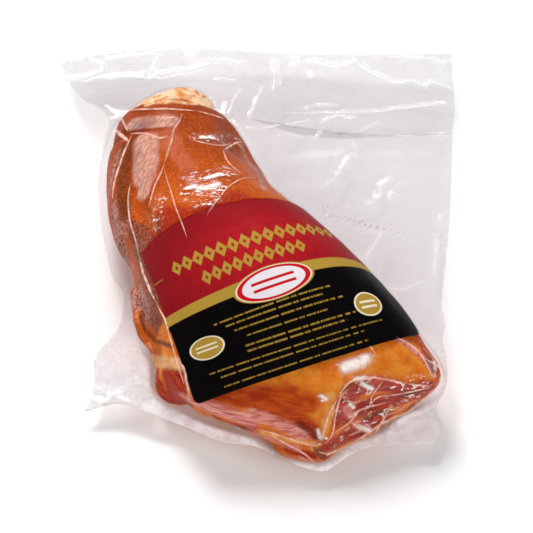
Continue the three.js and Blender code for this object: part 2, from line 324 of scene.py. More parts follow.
def surface_net(distance, low, high, cell):
    """Points and quads of the surface where a distance is 0, between two corners of a box."""
    low, high = np.array(low, float), np.array(high, float)
    counts = (np.ceil((high - low) / cell / COARSE) * COARSE + 1).astype(int)
    values = sampled(distance, low, counts, cell)
    inside = values < 0
    shape = counts - 1
    corners = np.array([[c & 1, c >> 1 & 1, c >> 2] for c in range(8)])
    window = [tuple(slice(o, o + n) for o, n in zip(c, shape)) for c in corners]
    filled = sum(inside[w].astype(np.int8) for w in window)
    active = (filled > 0) & (filled < 8)
    cubes = np.argwhere(active)
    at = np.stack([values[w][active] for w in window], 1)
    total = np.zeros((len(cubes), 3))
    crossings = np.zeros(len(cubes))
    for a in range(8):
        for b in (a | 1, a | 2, a | 4):
            if a == b:
                continue
            crossed = (at[:, a] < 0) != (at[:, b] < 0)
            t = np.where(crossed, at[:, a], 0) / np.where(crossed, at[:, a] - at[:, b], 1)
            total += crossed[:, None] * (corners[a] + t[:, None] * (corners[b] - corners[a]))
            crossings += crossed
    points = low + (cubes + total / crossings[:, None]) * cell
    number = np.full(shape, -1)
    number[active] = np.arange(len(cubes))
    quads = []
    axes = np.eye(3, dtype=int)
    for m, axis in enumerate(axes):
        u, v = axes[(m + 1) % 3], axes[(m + 2) % 3]
        start = tuple(slice(1, n) for n in shape)
        end = tuple(slice(1 + a, n + a) for n, a in zip(shape, axis))
        for rises in (False, True):
            passes = (inside[start] != inside[end]) & (inside[end] == rises)
            edges = np.argwhere(passes) + 1
            turns = ((1, 1), (0, 1), (0, 0), (1, 0))
            ring = [number[tuple((edges - a * u - b * v).T)] for a, b in turns]
            quads.append(np.stack(ring[::-1] if rises else ring, 1))
    return points, np.concatenate(quads)


def gradient(distance, p, step=0.25):
    """The direction in which a distance grows, which is the surface's normal."""
    slope = [distance(p + step * axis) - distance(p - step * axis) for axis in np.eye(3)]
    slope = np.stack(slope, 1) / (2 * step)
    return slope / np.maximum(np.linalg.norm(slope, axis=1), 1e-6)[:, None]


def onto(distance, p, furthest=0.6, rounds=2):
    """Moves points onto a surface, by no more than a given length a round."""
    for _ in range(rounds):
        step = np.clip(distance(p), -furthest, furthest)
        p = p - step[:, None] * gradient(distance, p)
    return p


def mesh_object(name, points, faces):
    """A piece of the scene, turned from the drawing's millimetres into metres."""
    if isinstance(faces, np.ndarray):
        faces = faces.tolist()
    mesh = bpy.data.meshes.new(name)
    mesh.from_pydata(((points + ORIGIN) * MM).tolist(), [], faces)
    mesh.shade_smooth()
    made = bpy.data.objects.new(name, mesh)
    bpy.context.scene.collection.objects.link(made)
    print(f"{name}: {len(points)} points, {len(faces)} faces")
    return made


def keep(piece, masks):
    """Stores numbers for each point of the mesh, by name, for the material to read."""
    for name, values in masks.items():
        attribute = piece.data.attributes.new(name, "FLOAT", "POINT")
        attribute.data.foreach_set("value", np.asarray(values, np.float32))


# %% [markdown]
# ## Strokes on a surface
#
# Cut faces, veins of fat and folds of film are drawn as strokes: a few points of the
# picture, laid on the surface by rays from the camera, and joined by straight lines in
# space. How far each point of the mesh lies from a stroke then says how strongly it acts.

# %% Strokes
class Surface:
    """A mesh that rays can be laid on."""

    def __init__(self, points, faces):
        self.tree = BVHTree.FromPolygons(points.tolist(), faces.tolist())

    def under(self, pixel):
        """The point that the picture shows there, and the surface's normal."""
        ray = ray_through(pixel)
        spot, normal, _, _ = self.tree.ray_cast(Vector(eye), Vector(ray))
        if spot is None:  # just past the outline: the nearest point of the surface
            spot, normal, _, _ = self.tree.find_nearest(Vector(eye + ray * DISTANCE))
        return np.array(spot), np.array(normal)

    def laid(self, pixels):
        return np.array([self.under(pixel)[0] for pixel in pixels])


def stroke(p, line, width, softness=0.5):
    """1 on a line laid on a surface, falling to 0 at half the width to its side."""
    near = np.all((p > line.min(0) - width) & (p < line.max(0) + width), axis=1)
    strength = np.zeros(len(p))
    away = chain(p[near], line, 0.0)
    strength[near] = 1 - smooth_step((1 - softness) * width / 2, width / 2, away)
    return strength


def painted(p, surface, strokes, softness=0.6):
    """The strongest of several strokes, each a width in millimetres and points of the picture."""
    laid = [(width, surface.laid(line)) for width, line in strokes]
    return np.maximum.reduce([stroke(p, line, width, softness) for width, line in laid])


def uneven(p, size, seed=0.0, octaves=3, where=None):
    """Smooth noise from about -1 to 1 with lumps of the given size, for each point."""
    shift = Vector((seed, 2.3 * seed, -1.7 * seed))
    found = np.zeros(len(p))
    chosen = np.arange(len(p)) if where is None else np.where(where > 0.01)[0]
    for n, q in zip(chosen, p[chosen].tolist()):
        found[n] = noise.fractal(Vector(q) / size + shift, 1.0, 2.0, octaves)
    return found


# %% [markdown]
# ## The meat
#
# The mesh has a point about every millimetre. Small unevenness is added along the normals:
# rind is nearly smooth, the knob of gristle is lumpy, and cut lean shows its fibres. The
# masks that tell rind, fat, lean and gristle apart are stored on the mesh, and the
# material mixes its colours by them.

# %% The meat's mesh
MEAT_LOW = [-80, -104, -4]
MEAT_HIGH = [92, 82, 74]
MEAT_CELL = 0.95

meat_points, meat_faces = surface_net(knuckle, MEAT_LOW, MEAT_HIGH, MEAT_CELL)
meat_points = onto(knuckle, meat_points)
meat_surface = Surface(meat_points, meat_faces)
meat_normals = gradient(knuckle, meat_points)
print("the meat reaches from", meat_points.min(0).round(1), "to", meat_points.max(0).round(1))

# %% [markdown]
# ### Rind, fat, lean and gristle
#
# On the real piece the rind ends near the butt, and the knob stands out of a collar of it.
# Both borders follow the form, so they come from distances. The lean shows in the cut faces
# in an order of its own, so it is drawn by strokes.

# %% Strokes of lean, fat and the knob's foot
# width in millimetres, then points of the picture
LEAN = [
    (12, [(166, 374), (172, 388), (178, 402)]),
    (9, [(157, 374), (160, 388), (168, 402)]),
    (7, [(352, 445), (380, 429), (410, 408), (432, 389)]),
    (9, [(173, 375), (178, 390), (183, 404)]),
    (9, [(180, 374), (184, 388), (188, 402)]),
    (13, [(342, 404), (352, 396), (364, 386), (384, 386), (404, 391), (426, 388)]),
    (15, [(340, 418), (352, 412), (372, 404), (392, 400), (416, 394)]),
    (13, [(330, 446), (346, 438), (362, 430), (384, 418)]),
    (5, [(424, 352), (434, 366)]),
    (6, [(216, 417), (234, 424), (252, 429)]),
    (7, [(272, 446), (290, 450), (312, 456)]),
]
PALE_LEAN = [
    (11, [(186, 400), (204, 406), (230, 414), (250, 422)]),
    (8, [(252, 414), (272, 421), (292, 430), (304, 437)]),
    (5, [(250, 430), (272, 440), (296, 448)]),
    (4, [(397, 338), (413, 348), (424, 359), (433, 374)]),
    (5, [(346, 408), (352, 416)]),
    (5, [(356, 424), (366, 428)]),
]
FAT_VEINS = [
    (1.8, [(138, 352), (150, 362), (165, 366), (179, 362), (185, 372), (188, 388), (191, 400)]),
    (1.6, [(222, 424), (246, 436), (272, 446), (300, 457), (318, 462)]),
    (1.0, [(350, 436), (374, 422), (398, 411), (420, 399)]),
    (0.9, [(346, 430), (368, 416), (396, 404), (424, 392)]),
]
KNOB_FOOT = [(7, [(140, 104), (152, 102), (170, 101.5), (190, 102.5), (208, 106)])]
print("strokes of lean and fat:", len(LEAN) + len(PALE_LEAN) + len(FAT_VEINS))

# %% Rind, fat, lean and gristle
RIND_EDGE = [-40, -50, 25]  # a point where the rind stops on the way to the butt

face_or_side = past_plane(meat_points, FRONT_TIP, LEFT_FACE) - loft(meat_points)
low_on_face = smooth_step(-1.5, 1.0, face_or_side) * smooth_step(34, 16, meat_points[:, 2])
wander = uneven(meat_points, 14.0, 3.0, 2)
past_rind = past_plane(meat_points, RIND_EDGE, [-0.1, -1.0, 0.1])
lip_distance = chain(meat_points, RIND_LIP, LIP_RADIUS)
bare = smooth_step(0.0, 1.2, past_rind) * smooth_step(0.2, 1.0, lip_distance)
gristle = smooth_step(RIND_END_Y - 1.2, RIND_END_Y + 0.4, meat_points[:, 1] + 0.8 * wander)
lean = np.maximum(painted(meat_points, meat_surface, LEAN), 0.35 * low_on_face)
pale = painted(meat_points, meat_surface, PALE_LEAN)
veins = painted(meat_points, meat_surface, FAT_VEINS)
knob_foot = painted(meat_points, meat_surface, KNOB_FOOT, 0.3)
gristle = np.maximum(gristle, knob_foot * smooth_step(56.5, 59, meat_points[:, 1]))
print("points of lean:", int((lean > 0.5).sum()), "of gristle:", int((gristle > 0.5).sum()))

# %% The meat's fine form and its piece
along_fibres = meat_points * np.array([0.22, 1.0, 1.0])
relief = 0.3 * uneven(meat_points, 11.0, 1.0) * (1 - bare)
relief += 1.1 * uneven(meat_points, 7.0, 5.0, where=gristle) * gristle
relief += 0.35 * uneven(meat_points, 6.0, 7.0, where=bare) * bare
fibrous = np.maximum(lean, pale)
relief += 0.3 * uneven(along_fibres, 1.8, 9.0, 2, where=fibrous) * fibrous
relief += 0.35 * veins
meat_points = meat_points + relief[:, None] * meat_normals
meat_points[:, 2] = np.maximum(meat_points[:, 2], REST_HEIGHT)

meat = mesh_object("smoked_knuckle", meat_points, meat_faces)

# %% [markdown]
# ### Tones of the meat
#
# Smoke colours rind unevenly: it has dusky and pale patches and an orange lip. Shade in its
# grooves, in part of the dusky patch over the lip and in the hollows of the butt's cut lean is
# painted, as dark strokes, and so is a sheen along the leg's outlines, as pale ones. On the
# butt, cooked fat is deep orange beside gold. These tones have no form of their own, so they
# are strokes too, laid on the finished mesh.

# %% Tones of the meat
# width in millimetres, then points of the picture
TONES = {
    "mahogany": [
        (8, [(427, 350), (436, 366), (438, 384)]),
        (15, [(206, 394), (236, 396), (262, 398), (288, 396)]),
        (16, [(262, 404), (288, 404), (306, 404)]),
        (13, [(276, 416), (298, 420), (312, 432)]),
    ],
    "gold_fat": [
        (5, [(332, 396), (330, 412), (323, 434)]),
        (3.5, [(262, 433), (288, 440), (314, 444)]),
    ],
    "red_rind": [
        (22, [(166, 222), (190, 222), (214, 214), (236, 202)]),
        (12, [(150, 240), (158, 246), (170, 242)]),
    ],
    # pale speckled skin low on the left flank; the two thin strokes along the leg's left and right outlines
    # are a painted sheen, light that the film mirrors at a slant
    "pale_skin_and_edge_sheen": [
        (18, [(118, 214), (120, 250), (130, 288)]),
        (14, [(138, 296), (146, 312)]),
        (6, [(111, 140), (107, 170), (108, 205)]),
        (4, [(240, 140), (252, 166), (264, 190)]),
    ],
    # darker rind on the left flank, and painted shade along grooves of the rind and inside the lip
    "dark_rind_and_groove_shade": [
        (9, [(127, 146), (124, 175), (124, 214)]),
        (2.5, [(139, 150), (135, 172)]),
        (2.5, [(136, 169), (145, 171)]),
        (3, [(141, 315), (145, 330), (155, 341), (172, 346)]),
        (3, [(163, 300), (170, 330)]),
    ],
    # dusky rind low on the left flank; the last stroke is painted shade in the hollow over the lip
    "dusky_rind_and_hollow_shade": [
        (13, [(139, 232), (144, 250), (150, 270), (156, 300)]),
        (9, [(131, 226), (135, 245), (141, 272), (147, 292)]),
        (13, [(148, 300), (155, 318), (166, 336)]),
    ],
    "lip": [
        (6, [(137, 316), (136, 334), (144, 345), (149, 347)]),
    ],
    "side_fat": [
        (7, [(142, 350), (154, 360), (170, 363), (184, 363)]),
    ],
    # painted shade: dark strokes where the cut lean lies hollow
    "shaded_hollows": [
        (4, [(216, 418), (234, 425), (250, 430)]),
        (3, [(366, 418), (384, 410)]),
        (5, [(402, 396), (420, 391)]),
        (5, [(318, 452), (326, 458)]),
        (5, [(427, 360), (434, 369)]),
        (5, [(300, 424), (318, 438)]),
        (4, [(344, 390), (352, 384)]),
    ],
}
keep(meat, {name: painted(meat_points, meat_surface, strokes) for name, strokes in TONES.items()})
keep(meat, {
    "bare": bare,
    "gristle": gristle,
    "lean": lean,
    "pale_lean": pale,
    "veins": veins,
    "smoked": smooth_step(-5, 58, meat_points[:, 1]),
    "right_end": smooth_step(28, 38, meat_points[:, 0]),
})
print("the meat has", len(meat.data.attributes), "attributes for its material")

# %% [markdown]
# ## The label
#
# Paper bends but doesn't stretch. The label is laid from its middle outwards by walking over
# the leg's form in small straight steps, which keeps its width and height as it turns down
# over the right flank. A fine chart of such walks is made once, and any point of the label
# is then read from it.

# %% Walking over the form
LABEL_LEFT = 46.0
LABEL_RIGHT = 56.0
LABEL_SIDE_HEIGHT = 82.0
LABEL_TOP_DIP = 3.0
LABEL_MIDDLE = [6.2, -42.6, 76.0]
LABEL_TURN = math.radians(-20)
LABEL_HEIGHT = 1.0  # of its underside over the leg's smooth form
PAPER = 0.25
CHART_STEP = 1.0


def settled(p):
    """Points moved to the label's height over the leg."""
    for _ in range(3):
        p = p + gradient(loft, p) * (LABEL_HEIGHT - loft(p))[:, None]
    return p


def stepped(p, heading, length):
    """One step over the form, and the heading there."""
    normal = gradient(loft, p)
    heading = heading - np.sum(heading * normal, 1)[:, None] * normal
    heading = heading / np.linalg.norm(heading, axis=1)[:, None]
    return settled(p + length * heading), heading


def walked(start, heading, before, after):
    """Rows of points from a start, a number of steps backwards and forwards."""
    reached = {0: start}
    for sign, count in ((-1, before), (1, after)):
        p, way = start, sign * heading
        for n in range(1, count + 1):
            p, way = stepped(p, way, CHART_STEP)
            reached[sign * n] = p
    return np.stack([reached[n] for n in range(-before, after + 1)])


up_label = np.array([[math.sin(LABEL_TURN), math.cos(LABEL_TURN), 0.0]])
across_label = np.array([[math.cos(LABEL_TURN), -math.sin(LABEL_TURN), 0.0]])
label_middle = settled(settled(np.array([LABEL_MIDDLE])))
half_height = int(LABEL_SIDE_HEIGHT / 2) + 1
spine = walked(label_middle, up_label, half_height, half_height)[:, 0]
left_steps, right_steps = int(LABEL_LEFT) + 1, int(LABEL_RIGHT) + 1
chart = walked(spine, np.repeat(across_label, len(spine), 0), left_steps, right_steps)
print("the label's chart has", chart.shape[0], "columns and", chart.shape[1], "rows")


def read_between(table, i, j):
    """What a table holds at places between its rows and columns."""
    i = np.clip(i, 0, table.shape[0] - 1.001)
    j = np.clip(j, 0, table.shape[1] - 1.001)
    a, b = i.astype(int), j.astype(int)
    beyond = [1] * (table.ndim - 2)
    s, t = (i - a).reshape(-1, *beyond), (j - b).reshape(-1, *beyond)
    near = between(table[a, b], table[a + 1, b], s)
    return between(near, between(table[a, b + 1], table[a + 1, b + 1], s), t)


def on_label(across, up):
    """Points of the label's underside from lengths along it."""
    return read_between(chart, across / CHART_STEP + left_steps, up / CHART_STEP + half_height)


# %% The label's piece
LABEL_GRID = 0.8
CORNER = 3.0  # radius of the lower corners
label_columns = round((LABEL_LEFT + LABEL_RIGHT) / LABEL_GRID)
label_rows = round(LABEL_SIDE_HEIGHT / LABEL_GRID)


def grid_faces(columns, rows, flip=False):
    """Quads between the points of a grid."""
    index = np.arange((columns + 1) * (rows + 1)).reshape(rows + 1, columns + 1)
    a, b, c, d = index[:-1, :-1], index[:-1, 1:], index[1:, 1:], index[1:, :-1]
    ring = [d, c, b, a] if flip else [a, b, c, d]
    return np.stack([corner.ravel() for corner in ring], 1)


def rim_faces(columns, rows, count):
    """Faces that close two grids, one over the other, round their edges."""
    index = np.arange((columns + 1) * (rows + 1)).reshape(rows + 1, columns + 1)
    rim = np.concatenate([index[0, :-1], index[:-1, -1], index[-1, :0:-1], index[:0:-1, 0]])
    ahead = np.roll(rim, -1)
    return np.stack([rim, rim + count, ahead + count, ahead], 1)


# %% The label's outline, its two sides and its piece
s, t = np.meshgrid(np.linspace(0, 1, label_columns + 1), np.linspace(0, 1, label_rows + 1))
s, t = s.ravel(), t.ravel()
dip = LABEL_TOP_DIP * (1 - (2 * s - 1) ** 2)
label_across = between(-LABEL_LEFT, LABEL_RIGHT, s)
label_up = between(-LABEL_SIDE_HEIGHT / 2, LABEL_SIDE_HEIGHT / 2 - dip, t)
for side, edge in ((-1, -LABEL_LEFT), (1, LABEL_RIGHT)):  # rounds the two lower corners
    inward = np.abs(label_across - edge)
    upward = label_up + LABEL_SIDE_HEIGHT / 2
    corner = np.hypot(CORNER - inward, CORNER - upward)
    outer = (inward < CORNER) & (upward < CORNER) & (corner > 0)
    square = np.maximum(CORNER - inward, CORNER - upward)
    shrink = np.where(outer, square / np.where(outer, corner, 1), 1)
    rounded = edge - side * between(CORNER, inward, shrink)
    label_across = np.where(outer, rounded, label_across)
    rounded = between(CORNER, upward, shrink) - LABEL_SIDE_HEIGHT / 2
    label_up = np.where(outer, rounded, label_up)
label_under = on_label(label_across, label_up)
label_normals = gradient(loft, label_under)
buckle = 0.22 * uneven(label_under, 13.0, 11.0, 2)
label_under = label_under + buckle[:, None] * label_normals
label_over = label_under + PAPER * label_normals
label_count = len(label_over)
label_faces = np.concatenate([
    grid_faces(label_columns, label_rows),
    grid_faces(label_columns, label_rows, flip=True) + label_count,
    rim_faces(label_columns, label_rows, label_count)[:, ::-1],
])
label = mesh_object("printed_label", np.concatenate([label_over, label_under]), label_faces)
keep(label, {"across": np.tile(label_across, 2), "up": np.tile(label_up, 2)})

# %% [markdown]
# ## The film
#
# The bag is one closed skin: a balloon drawn tight over the meat, which runs out into two
# films pressed together beyond it. It comes from a distance too, the meat's own form with
# its grooves bridged, joined by a fillet to a thin sheet. The sheet is meshed thicker than
# it is, because cubes can't catch a thin one, and is flattened afterwards.

# %% The bag's outline
SEAM_HEIGHT = 22.0
BUTT_SEAM_HEIGHT = 9.0
EDGE_HEIGHT = 6.5
TOP_EDGE_LIFT = 5.5
bag_sides = curve_through([
    # share of the way from the bottom edge to the top one, left x, right x
    [0, -68, 75], [0.04, -64, 78.5], [0.08, -63.5, 76], [0.12, -64, 80], [0.15, -60, 81],
    [0.18, -54.5, 80.5], [0.22, -52.5, 79.5], [0.27, -52, 81], [0.32, -57, 80], [0.42, -60, 82],
    [0.55, -62.8, 85], [0.65, -63, 86.5], [0.72, -62, 87.3], [0.77, -61, 87.8], [0.81, -64, 88.3],
    [0.86, -73.5, 89.5], [0.92, -79, 89], [1, -84, 88.8],
])
bag_ends = curve_through([
    # share of the way from left to right, y of the bottom edge, y of the top one
    [0, -71.5, 108.5], [0.1, -69.5, 111.8], [0.2, -74.5, 112.8], [0.3, -80, 113.5],
    [0.4, -86.5, 113.7], [0.49, -88, 113.7], [0.56, -92, 113.2], [0.63, -97.5, 112.3],
    [0.69, -99.5, 111.4], [0.75, -93, 110.3], [0.84, -88, 109.2], [1, -87.5, 109.8],
])
EDGE_POINTS = 60  # along each side of the outline
run, still = np.linspace(0, 1, EDGE_POINTS, endpoint=False), np.zeros(EDGE_POINTS)
share_across = np.concatenate([run, still + 1, 1 - run, still])
share_up = np.concatenate([still, run, still + 1, 1 - run])
left, right = bag_sides(share_up)
bottom, top = bag_ends(share_across)
outline = np.stack([between(left, right, share_across), between(bottom, top, share_up)], 1)


# %% The sheet beside the meat
def outside_outline(q):
    """How far points of the plan lie outside the bag's outline."""
    nearest = np.full(len(q), 1e9)
    inside = np.zeros(len(q), bool)
    for a, b in zip(outline, np.roll(outline, -1, 0)):
        nearest = np.minimum(nearest, nearest_on_rod(q, a, b)[1])
        spans = (a[1] > q[:, 1]) != (b[1] > q[:, 1])
        if a[1] != b[1]:
            inside ^= spans & (q[:, 0] < a[0] + (q[:, 1] - a[1]) * (b[0] - a[0]) / (b[1] - a[1]))
    return np.where(inside, -nearest, nearest)


def sheet_height(q):
    """The height of the two films' middle, as in the plain solid of the bag."""
    x, y = q[:, 0], q[:, 1]
    away = np.maximum(0, smooth_knuckle(np.column_stack([q, np.full(len(q), SEAM_HEIGHT)])))
    seam = between(BUTT_SEAM_HEIGHT, SEAM_HEIGHT, smooth_step(-85, -45, y))
    drop = smooth_step(0, 42, away)
    broad_wave = 1.7 * np.sin(x / 17 + y / 31) * drop
    narrow_wave = 0.7 * np.sin(y / 11 - x / 40) * smooth_step(4, 30, away)
    lift = TOP_EDGE_LIFT * smooth_step(60, 103, y)
    return between(seam, EDGE_HEIGHT, drop) + broad_wave + narrow_wave + lift


class Plan:
    """A function of the plan, worked out on a grid and read between its points."""

    def __init__(self, function, low, high, step=1.0):
        self.low, self.step = np.array(low, float), step
        x = np.arange(low[0], high[0] + step, step)
        y = np.arange(low[1], high[1] + step, step)
        self.values = function(grid_points([x, y])).reshape(len(x), len(y))

    def __call__(self, p):
        return read_between(self.values, *((p[:, :2] - self.low) / self.step).T)


PLAN_LOW, PLAN_HIGH = [-92, -108], [98, 122]
sheet_middle = Plan(sheet_height, PLAN_LOW, PLAN_HIGH)
past_outline = Plan(outside_outline, PLAN_LOW, PLAN_HIGH)
print("the bag's outline is", np.ptp(outline, axis=0).round(1), "mm")

# %% The film's mesh
FILM_CELL = 1.03
CLING = 0.35  # the film's height over the meat
MESHED_HALF = 0.9  # of the sheet's thickness, while it is meshed
TRUE_HALF = 0.12
FILM_GAP = 0.3  # that is left between the film and the meat
FREE_HEIGHT = 0.1  # of the film over the floor


def film(p):
    """The bag: a skin close over the meat, joined to a sheet that ends at the outline."""
    meat_form = join(knuckle(p), knuckle(p, spanned=True), 1.5) - CLING
    sheet = np.maximum(np.abs(p[:, 2] - sheet_middle(p)) - MESHED_HALF, past_outline(p))
    return np.maximum(join(meat_form, sheet, 5.0), FREE_HEIGHT - MESHED_HALF - p[:, 2])


def flattened(p):
    """Squeezes what lies close to the sheet's middle to its true thickness."""
    middle = sheet_middle(p)
    height = p[:, 2] - middle
    share = between(TRUE_HALF / MESHED_HALF, 1, smooth_step(MESHED_HALF, 3.0, np.abs(height)))
    return np.column_stack([p[:, :2], middle + height * share])


def clear_of(distance, p, gap):
    """Moves the points that lie too deep out to a gap from a shape."""
    short = np.clip(gap - distance(p), 0, 1.5)
    deep = short > 0
    p = p.copy()
    p[deep] += short[deep, None] * gradient(distance, p[deep])
    return p


film_points, film_faces = surface_net(film, [-88, -104, -3], [94, 118, 72], FILM_CELL)
film_points = onto(film, film_points)
film_points = flattened(film_points)
film_points = clear_of(knuckle, film_points, FILM_GAP)
print("the film has", len(film_points), "points before it is laid over the label")

# %% [markdown]
# ### Film over the label
#
# The label lies under the film, which shows it as a low step and sinks to the meat again
# beside it. Each point of film near the label is moved out along the label's own normal.

# %% The step over the label
LABEL_COVER = 0.3
LABEL_STEP = 2.2
LABEL_SINK = 1.4  # of the film beside the label's edge
label_tree = KDTree(label_count)
for n, spot in enumerate(label_over):
    label_tree.insert(spot, n)
label_tree.balance()
label_low, label_high = label_over.min(0) - LABEL_STEP - 1, label_over.max(0) + LABEL_STEP + 1
close = np.where(np.all((film_points > label_low) & (film_points < label_high), axis=1))[0]
nearest = np.array([label_tree.find(spot)[1] for spot in film_points[close]])
outward = label_normals[nearest]
offset = film_points[close] - label_over[nearest]
over = np.sum(offset * outward, 1)
beside = np.linalg.norm(offset - over[:, None] * outward, axis=1)
wanted = LABEL_COVER - LABEL_SINK * smooth_step(LABEL_GRID, LABEL_STEP, beside)
push = np.where((beside < LABEL_STEP) & (over > -4), np.clip(wanted - over, 0, 3), 0)
film_points[close] += push[:, None] * outward
on_print = np.zeros(len(film_points))
on_print[close] = (1 - smooth_step(1.0, 2.6, beside)) * (np.abs(over) < 4)
print("points of film on the label:", int((on_print > 0.5).sum()))

# %% [markdown]
# ### Folds of the sheet
#
# Where the two films lie free they are wavy all over, with sharper folds where the picture
# shows them. Both films move together, straight up or down, so they never cross.

# %% Waves and folds of the free sheet
# width and height in millimetres, then points of the picture
SHEET_FOLDS = [
    (3.2, 0.9, [(99.6, 64), (102.8, 71), (92, 75), (82.4, 78.8)]),
    (3.0, 0.8, [(89.4, 59.7), (103.5, 66.5)]),
    (3.0, 0.7, [(105, 60), (128, 56), (153, 54.6)]),
    (3.0, 1.0, [(161, 75), (177, 71), (193, 69), (208, 64.8)]),
    (3.0, 0.9, [(211, 59.7), (231, 59.7), (238, 63), (246, 61.6)]),
    (3.5, 0.7, [(148, 75), (157, 56.5)]),
    (3.0, 0.6, [(216, 78), (236, 80.7)]),
    (3.5, 0.9, [(240, 90), (233.6, 100), (228.5, 115)]),
    (3.5, 0.8, [(262, 88), (256, 104), (250, 118)]),
    (3.4, 1.1, [(275, 60), (274, 90)]),
    (2.8, 0.9, [(278, 60), (281, 86)]),
    (3.0, 1.1, [(313, 58), (325, 61), (343, 65), (357, 62)]),
    (3.0, 0.9, [(307, 62), (320, 64.5), (336, 68), (349, 66.5)]),
    (3.4, 1.2, [(353, 59), (364, 70), (376, 76.5), (394, 84), (405, 83.8)]),
    (3.6, 1.3, [(404, 85), (411, 81), (419, 84), (425, 88.5), (431, 82.5), (445, 86.5), (452, 91)]),
    (3.0, 1.0, [(424, 58), (447, 63)]),
    (2.8, 1.0, [(283, 113), (317, 112.6), (370, 112), (389, 110), (417, 106.6), (448, 104)]),
    (3.0, 0.9, [(305, 110), (311, 107), (337, 106.6)]),
    (2.8, 1.0, [(250, 128), (263, 128.7), (277, 125.4), (309, 120.3)]),
    (3.2, 1.2, [(322, 123), (338, 115.3), (346, 118), (356, 118)]),
    (3.4, 1.1, [(330, 124), (322, 132), (315.6, 141)]),
    (3.0, 0.8, [(281, 136), (288, 134), (305, 137.4)]),
    (4.0, 0.7, [(379, 123), (361, 131), (353, 144), (357, 151)]),
    (3.4, 0.9, [(336, 155), (342, 151), (347, 152)]),
    (4.0, 0.9, [(321, 188), (329, 184), (337, 177), (350, 157)]),
    (4.5, 1.2, [(369, 205), (378, 199.6), (381, 193), (380, 186), (390, 180.5)]),
    (5.0, 0.6, [(381, 232), (377, 242), (366, 258)]),
    (3.4, 1.0, [(393, 288.5), (404, 291), (413, 287), (422, 282)]),
    (5.0, 0.6, [(439, 218), (435, 273)]),
    (3.0, 0.9, [(427, 346), (445, 338)]),
    (3.4, 0.8, [(118, 406), (128, 402)]),
    (3.4, 0.7, [(92, 412), (104, 402), (118, 392)]),
]

free = smooth_step(1.5, 7.0, knuckle(film_points, spanned=True))
film_surface = Surface(film_points, film_faces)
lift = 0.22 * uneven(film_points * np.array([0.5, 1.0, 1.0]), 15.0, 13.0, 2, where=free) * free
lift += 0.07 * uneven(film_points, 4.0, 17.0, 2, where=free) * free
# the free sheet's folds: whiter folded film with a painted highlight along each
crease_highlight = np.zeros(len(film_points))
off_meat = smooth_step(0.5, 3.0, knuckle(film_points))
for width, rise, line in SHEET_FOLDS:
    strength = stroke(film_points, film_surface.laid(line), width, 1.0) * off_meat
    crease_highlight = np.maximum(crease_highlight, strength)
    lift += rise * strength
lowest = FREE_HEIGHT + TRUE_HALF - sheet_middle(film_points)
lift = np.maximum(lift, np.minimum(0, lowest))
film_points[:, 2] = np.maximum(film_points[:, 2] + lift, FREE_HEIGHT)
print("folds of the sheet:", len(SHEET_FOLDS))

# %% [markdown]
# ### Crumples over the butt
#
# Cut meat is uneven, and film over it doesn't lie flat: it stands off in small crumples that
# glint. They are bumps of the mesh itself, so they show from the side too.

# %% Crumples
CRUMPLED_FILM = [
    # width, points of the picture
    (17, [(352, 392), (372, 387), (400, 391), (424, 389)]),
    (16, [(345, 412), (372, 408), (400, 402)]),
    (13, [(322, 446), (338, 440), (360, 428), (390, 412)]),
    (5, [(214, 417), (234, 426), (256, 434)]),
    (6, [(424, 354), (434, 366), (438, 378)]),
]
CRUMPLE_HEIGHT = 1.2
crumpled = painted(film_points, Surface(film_points, film_faces), CRUMPLED_FILM)
puff = CRUMPLE_HEIGHT * np.abs(uneven(film_points, 6.5, 23.0, 2, where=crumpled)) * crumpled
film_points += puff[:, None] * gradient(film, film_points)
film_points[:, 2] = np.maximum(film_points[:, 2], FREE_HEIGHT)
film_points = clear_of(knuckle, film_points, FILM_GAP)
film_surface = Surface(film_points, film_faces)
print("points of crumpled film:", int((crumpled > 0.5).sum()))

# %% [markdown]
# ### Where the film is milky
#
# Film is clearest where it clings wet to the meat. Where a little air is left between them
# it looks dry and pinkish white; on the left flank that pinkish white, finely hatched, is also
# a painted sheen, the light the film mirrors there. Pressed folds show as white lines, which
# on the free sheet carry a painted highlight.

# %% Masks of the film
# film with air under it, whose pinkish haze is also a painted sheen on the left flank
DRY_SHEEN_FILM = [
    # width, points of the picture
    (13, [(146, 142), (146, 160), (145, 176)]),
    (7, [(150, 172), (143, 194)]),
    (9, [(134, 124), (152, 122), (170, 121)]),
]
# where wet film clings to fine wrinkles, and where it is crumpled over the butt
RIPPLED_FILM = [
    (12, [(189, 180), (206, 178), (226, 173)]),
    (11, [(188, 192), (204, 192), (220, 190)]),
    (9, [(196, 204), (208, 208), (220, 198)]),
    (8, [(198, 137), (216, 139), (234, 141)]),
    (9, [(344, 367), (356, 364), (367, 359)]),
    (4, [(322, 395), (323, 402)]),
    (8, [(160, 200), (157, 228)]),
]
SHINE = [
    (8, [(346, 367), (356, 364), (365, 359)]),
    (3, [(321, 396), (326, 399)]),
    (2.5, [(434, 361), (435, 369)]),
    (2.5, [(318, 430), (320, 438)]),
    (4, [(193, 186), (205, 188), (218, 184)]),
    (3, [(206, 178), (222, 174)]),
    (3, [(201, 137), (214, 138)]),
    (3, [(362, 384), (372, 389)]),
    (3, [(356, 379), (364, 378)]),
    (2.5, [(350, 404), (354, 408)]),
    (3, [(360, 427), (370, 431)]),
]

